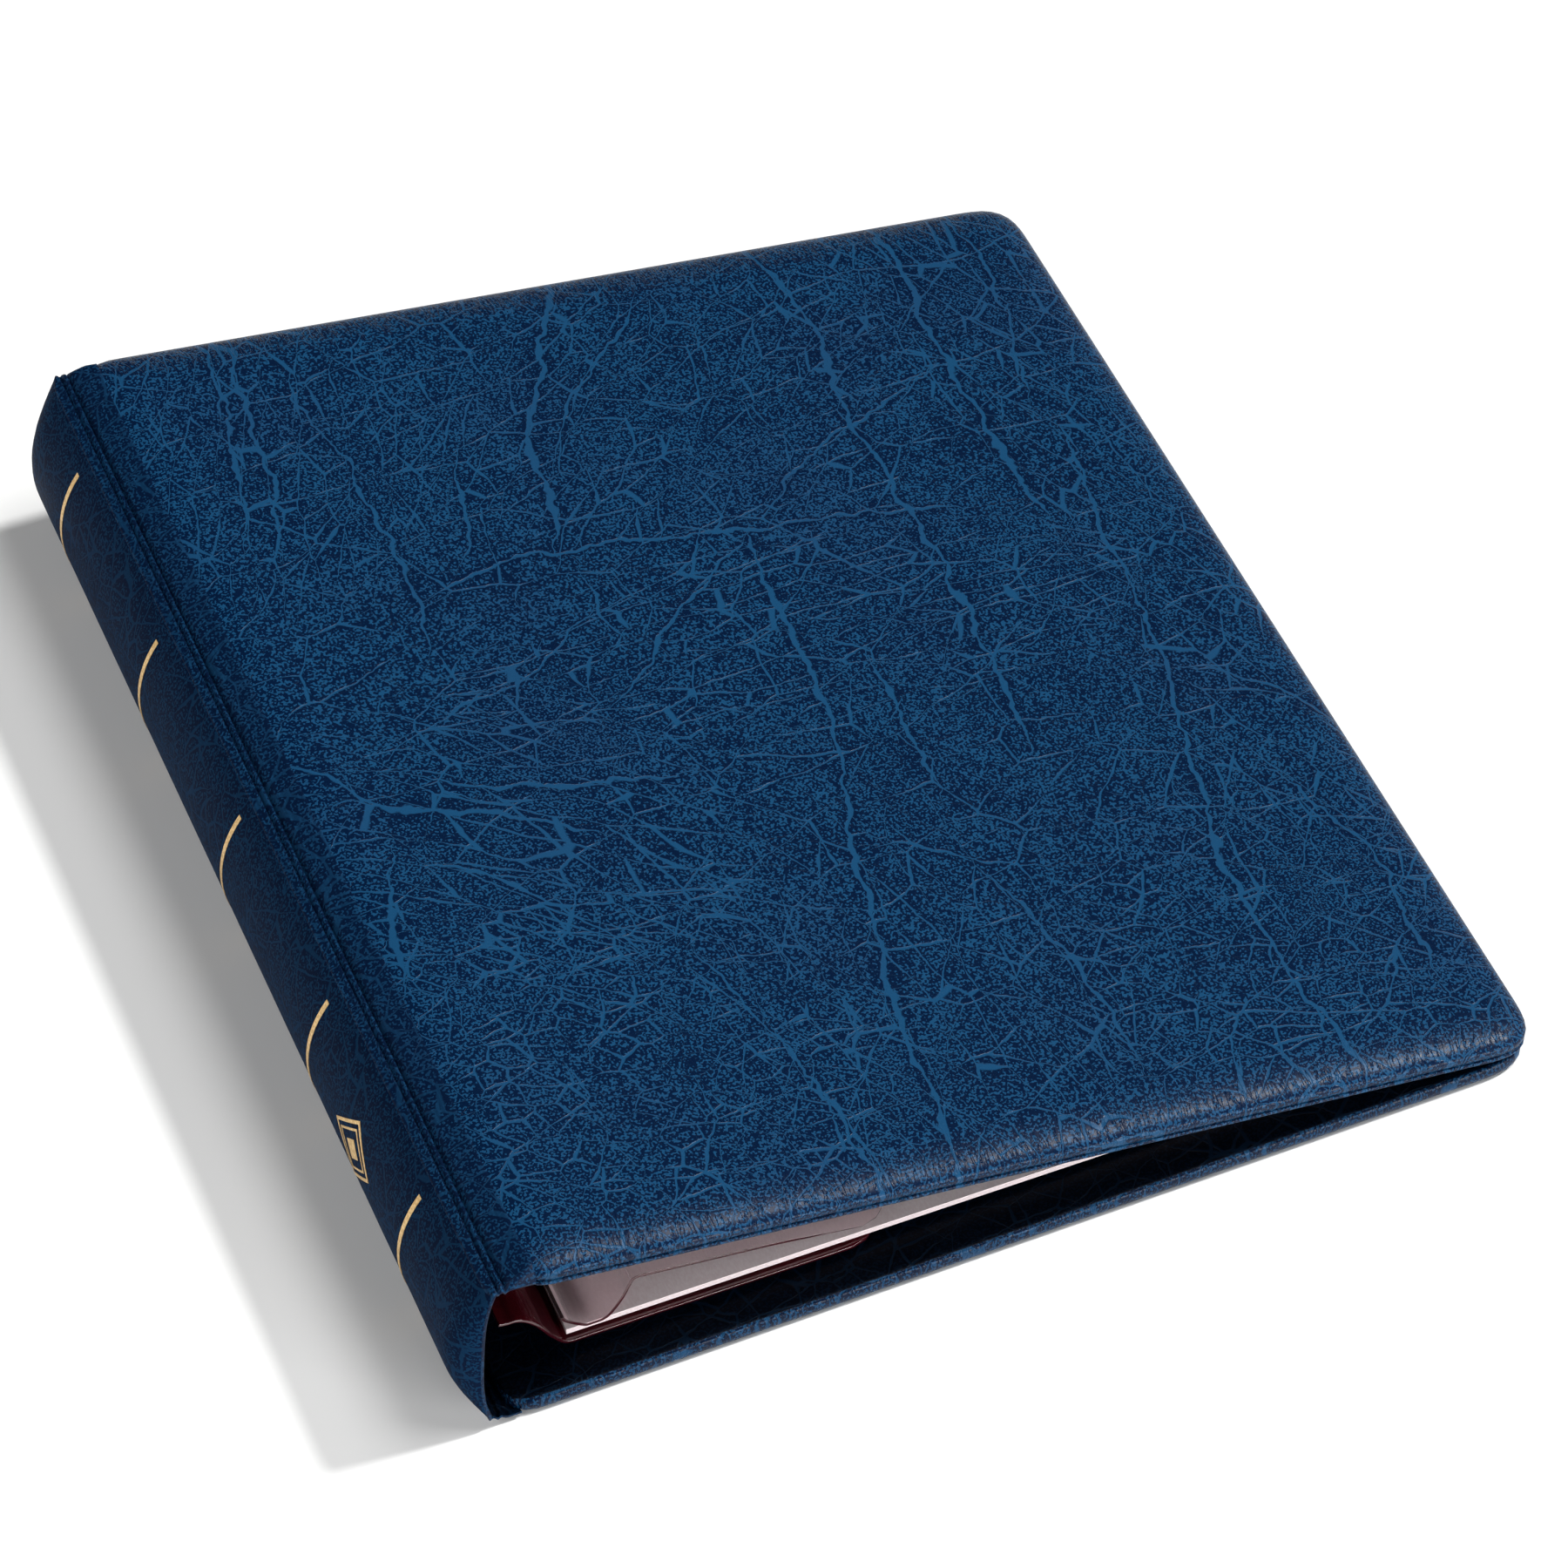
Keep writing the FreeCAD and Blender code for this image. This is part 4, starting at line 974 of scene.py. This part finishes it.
def tube(name, points, radius, body, material, slot, sides=10):
    """A round bead along points, closed at both ends."""
    def build(shape):
        rings = []
        for index, point in enumerate(points):
            before = points[max(index - 1, 0)]
            after = points[min(index + 1, len(points) - 1)]
            ahead = (after - before).normalized()
            side = ahead.cross(Vector((0, 1, 0)))
            side = side.normalized() if side.length > 1e-6 else Vector((1, 0, 0))
            other = ahead.cross(side).normalized()
            swell = radius * (0.75 if index in (0, len(points) - 1) else 1.0)
            rings.append([shape.verts.new(point + (side * math.cos(a) + other * math.sin(a)) * swell * MM)
                          for a in (math.tau * k / sides for k in range(sides))])
        sweep(shape, rings)

    make_piece(name, to_mesh(name, build), body, [material], slot)


for end_name, y in (("foot", 0.45), ("head", HEIGHT - 0.45)):
    rim_points = [on_spine(tray_level(z) - 0.1, y, z)
                  for z in [1.0 + (CHORD - 2.0) * i / 36 for i in range(37)]]
    tube(f"spine_rim_weld_{end_name}", rim_points, 0.55, "spine", HINGE_LEATHER, "leatherette")


# Hinge strips: welded grooves with fine ridges that bend with the covers.
FRONT_FOLD = ((0.10, -0.60), (0.42, -1.50), (0.80, -1.55), (1.10, -0.40), (1.50, -0.10), (1.90, -0.30),
              (2.15, -1.10), (2.50, -1.15), (2.80, -0.20), (3.3, 0.40), (4.1, 0.95), (5.0, 1.42),
              (6.0, 1.86), (7.0, 2.30), (8.0, 2.73), (9.0, 3.06), (9.7, 3.08))
BACK_FOLD = ((0.15, -1.05), (0.55, -1.15), (0.95, -0.75), (1.35, -0.15), (1.75, -0.05), (2.15, -0.45),
             (2.45, -0.55), (2.75, -0.25), (3.3, 0.30), (4.1, 0.85), (5.0, 1.25), (6.0, 1.50), (6.7, 1.60),
             (7.4, 1.62))
END_ROLL, END_LEVEL = 12.0, 0.35
STRIP_MARGIN, STRIP_ROWS = 0.25, 110
DROP_REACH = 1.8
KNOT_HEIGHT, KNOT_FROM_END, KNOT_REACH = 0.5, 2.0, 1.3
CREASE_MIDDLE = 1.7


def end_level(from_end, full_level):
    """How high the padding stands at a distance from its end."""
    share = min(from_end / END_ROLL, 1.0)
    return END_LEVEL + (full_level - END_LEVEL) * math.sqrt(1 - (1 - share) ** 2)


def strip_piece(name, fold, full_level, sink, upper, place, first_body, second_body, reach, node):
    """A hinge strip: from the spine's shoulder over two fine creases up to the cover's edge."""
    shoulder = []
    for degrees, radius in ((54, -0.25), (42, 0.0), (30, 0.07), (16, 0.07), (3, 0.07)):
        angle = math.radians(degrees)
        shoulder.append((SHOULDER_X - (SHOULDER + radius) * math.sin(angle), SHOULDER_EDGE + SHOULDER
                         - (SHOULDER + radius) * math.cos(angle)))

    def build(shape):
        rows = []
        for index in range(STRIP_ROWS + 1):
            share = 0.5 - 0.5 * math.cos(math.pi * index / STRIP_ROWS)
            y = STRIP_MARGIN + (HEIGHT - 2 * STRIP_MARGIN) * share
            from_end = min(y, HEIGHT - y)
            full = spine_fullness(y)
            drop = (1.0 - min(from_end / DROP_REACH, 1.0)) ** 2
            knot = KNOT_HEIGHT * math.exp(-((from_end - KNOT_FROM_END) / KNOT_REACH) ** 2)
            outer, inner = [], []
            for x, z in shoulder:
                z = CHORD - z if upper else z
                rim = end_rim(z)
                level = rim + (x - rim) * full
                outer.append(on_spine(level + 0.15 * drop, y, z))
                inner.append(on_spine(level + 0.6, y, z))
            for along, out in fold:
                out = min(out, end_level(from_end, full_level))
                out -= drop * (out + 1.5) * sink
                in_crease = max(0.0, 1 - abs(along - CREASE_MIDDLE) / CREASE_MIDDLE)
                out += knot * in_crease + 0.05 * soft_noise(y, along * 6.0, 7.0, 5.5) * in_crease
                outer.append(place(along, y, out))
                inner.append(place(along, y, min(out - 0.7, 1.1)))
            rows.append([shape.verts.new(point) for point in outer + inner[::-1]])
        sweep(shape, rows, lined=True)

    piece = make_piece(name, to_mesh(name, build), None, [HINGE_LEATHER, SHADED_LINING_LEATHER], "leatherette")
    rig.blend(piece, first_body, second_body,
             place(reach[0], HEIGHT / 2, 0.0), place(reach[1], HEIGHT / 2, 0.0))
    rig.replaces(piece, node)


strip_piece("front_hinge_fold", FRONT_FOLD, 4.38, 0.75, True, on_front, "spine", "front_cover", (-0.6, 3.4),
            "front_hinge_strip")
strip_piece("back_hinge_fold", BACK_FOLD, 1.9, 0.15, False, on_back, "root", "spine", (3.4, -0.6),
            "back_hinge_strip")


# Sheet lifters: thin clear plastic, bent round the rings, with a slot for each ring.
def smooth_path(points, per_span=6):
    """Catmull-Rom curve through points."""
    ends = [points[0]] + list(points) + [points[-1]]
    path = []
    for a, b, c, d in zip(ends, ends[1:], ends[2:], ends[3:]):
        for step in range(per_span):
            t = step / per_span
            path.append(tuple(
                0.5 * (2 * b[k] + (c[k] - a[k]) * t + (2 * a[k] - 5 * b[k] + 4 * c[k] - d[k]) * t * t
                       + (3 * b[k] - a[k] - 3 * c[k] + d[k]) * t ** 3) for k in (0, 1)))
    return path + [points[-1]]


RING_PITCH = 80.0
SHEET_THICKNESS = 0.95
FLAT_STEPS = 12


def lifter(name, outline, slot_low, slot_high, tilt, body, node, face):
    """A sheet along outline, whose last stretch is flat, slotted between slot_low and slot_high."""
    path = smooth_path(outline[:-1]) + [
        tuple(outline[-2][k] + (outline[-1][k] - outline[-2][k]) * i / FLAT_STEPS for k in (0, 1))
        for i in range(1, FLAT_STEPS + 1)]
    foot, head, half_slot, longest_step = 10.5, 306.5, 2.3, 9.0
    stations = [HEIGHT / 2 + (index - 1.5) * RING_PITCH for index in range(4)]
    cuts = sorted([foot, head] + [station + side * half_slot for station in stations for side in (-1, 1)])
    ys = []
    for first, second in zip(cuts, cuts[1:]):
        steps = max(2, round((second - first) / longest_step))
        ys += [first + (second - first) * i / steps for i in range(steps)]
    corner, corner_run = 8.0, 30
    for inset in (1.2, 2.8, 5.0, corner):
        ys += [foot + inset, head - inset]
    ys = sorted(set(ys + [head]))

    def build(shape):
        grid = []
        end_x = path[-1][0]
        for y in ys:
            from_end = min(y - foot, head - y)
            row = []
            for x, z in path:
                trim = 0.0
                if from_end < corner:
                    trim = corner - math.sqrt(max(corner ** 2 - (corner - from_end) ** 2, 0.0))
                share = min(max((x - (end_x - corner_run)) / corner_run, 0.0), 1.0)
                row.append(shape.verts.new(turned(RING_CENTRE, tilt, x - trim * share, y, z)))
            grid.append(row)
        for row, (y_low, y_high) in enumerate(zip(ys, ys[1:])):
            middle = (y_low + y_high) / 2
            slotted = any(abs(middle - station) < half_slot for station in stations)
            for column in range(len(path) - 1):
                x_middle = (path[column][0] + path[column + 1][0]) / 2
                if slotted and slot_low < x_middle < slot_high:
                    continue
                shape.faces.new((grid[row][column], grid[row][column + 1],
                                 grid[row + 1][column + 1], grid[row + 1][column]))

    piece = make_piece(name, to_mesh(name, build), body, [face, WINE_EDGE], "clear_plastic")
    thick = piece.modifiers.new("thickness", "SOLIDIFY")
    thick.thickness = SHEET_THICKNESS * MM
    thick.offset = 0.0
    thick.material_offset_rim = 1
    soften = piece.modifiers.new("soft_edges", "BEVEL")
    soften.width = 0.3 * MM
    soften.segments = 3
    soften.limit_method = "ANGLE"
    soften.angle_limit = math.radians(50)
    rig.replaces(piece, node)


BACK_LIP = ((-12.2, 0.0), (-9.9, -0.5), (-7.8, -0.6), (-5.3, -2.0), (-2.6, -5.1), (0.4, -10.2),
            (3.4, -14.2), (5.5, -15.2), (9.0, -15.2), (84.0, -15.2))
FRONT_LIP = ((3.3, -5.2), (4.4, -7.0), (8.4, -10.4), (10.5, -10.9), (13.8, -10.6), (16.0, -8.5),
             (18.3, -5.0), (20.0, -1.4), (21.0, 0.5), (22.6, 0.9), (86.3, -9.6))
lifter("back_lifter_sheet", BACK_LIP, 0.2, 9.6, math.radians(1.0), "leaves", "back_sheet_lifter", WINE)
lifter("front_lifter_sheet", FRONT_LIP, 7.4, 23.4, 0.0, "front_lifter", "front_sheet_lifter", CLEAR)

# The foil, mechanism, leaves and boards stay as the frame has them, with finished materials.

for node_name, material in CAD_MATERIALS.items():
    node = frame["nodes"][node_name]
    node.data.materials.clear()
    node.data.materials.append(material)


# ---------------------------------------------------------------- floor, light and camera

def build_floor(shape):
    half, level = 6.0, -0.0003
    places = ((-half, -half), (half, -half), (half, half), (-half, half))
    shape.faces.new([shape.verts.new((x, y, level)) for x, y in places])


floor_mesh = to_mesh("studio_floor", build_floor)
floor = make_piece("studio_floor", floor_mesh, None, [floor_paint()], smooth=False)
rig.stage(floor)

world = bpy.data.worlds.new("studio")
bpy.context.scene.world = world
world.use_nodes = True
background = world.node_tree.nodes["Background"]
background.inputs["Color"].default_value = (1.0, 1.0, 0.995, 1)
background.inputs["Strength"].default_value = 0.06


def area_light(name, place, aim, size, power):
    data = bpy.data.lights.new(name, "AREA")
    data.shape = "RECTANGLE"
    data.size, data.size_y = size
    data.energy = power
    lamp = bpy.data.objects.new(name, data)
    bpy.context.scene.collection.objects.link(lamp)
    lamp.location = place
    lamp.rotation_euler = (Vector(aim) - Vector(place)).to_track_quat("-Z", "Y").to_euler()


KEY_ELEVATION = math.radians(49)
key = bpy.data.lights.new("key", "SUN")
key.energy = 2.6
key.angle = math.radians(5.0)
key.color = (1.0, 1.0, 0.99)
key_lamp = bpy.data.objects.new("key", key)
bpy.context.scene.collection.objects.link(key_lamp)
key_from = Vector((math.cos(KEY_ELEVATION), -0.04, math.sin(KEY_ELEVATION)))
key_lamp.rotation_euler = key_from.to_track_quat("Z", "Y").to_euler()

area_light("overhead", (0.66, -0.28, 1.85), (0.02, 0.0, 0.0), (0.75, 0.65), 16.0)
area_light("side_fill", (-2.1, -0.4, 1.7), (-0.1, 0.0, 0.0), (2.0, 1.8), 33.0)
area_light("front_fill", (0.75, -1.8, 0.34), (0.0, -0.15, 0.02), (1.3, 0.40), 34.0)

camera_data = bpy.data.cameras.new("camera")
camera_data.sensor_width = 36.0
camera_data.lens = 139.89
camera_data.clip_start = 0.05
camera_data.clip_end = 30.0
camera = bpy.data.objects.new("camera", camera_data)
bpy.context.scene.collection.objects.link(camera)
camera.location = (-0.36291, -0.93964, 1.15858)
camera.rotation_euler = tuple(math.radians(value) for value in (40.969, 0.941, -22.600))
bpy.context.scene.camera = camera

bpy.context.scene.view_settings.view_transform = "Standard"
bpy.context.scene.view_settings.look = "None"

low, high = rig.bounds()
SIZES["visual"] = [list(low), list(high)]
with open(SIZE_FILE, "w") as file:
    json.dump(SIZES, file)
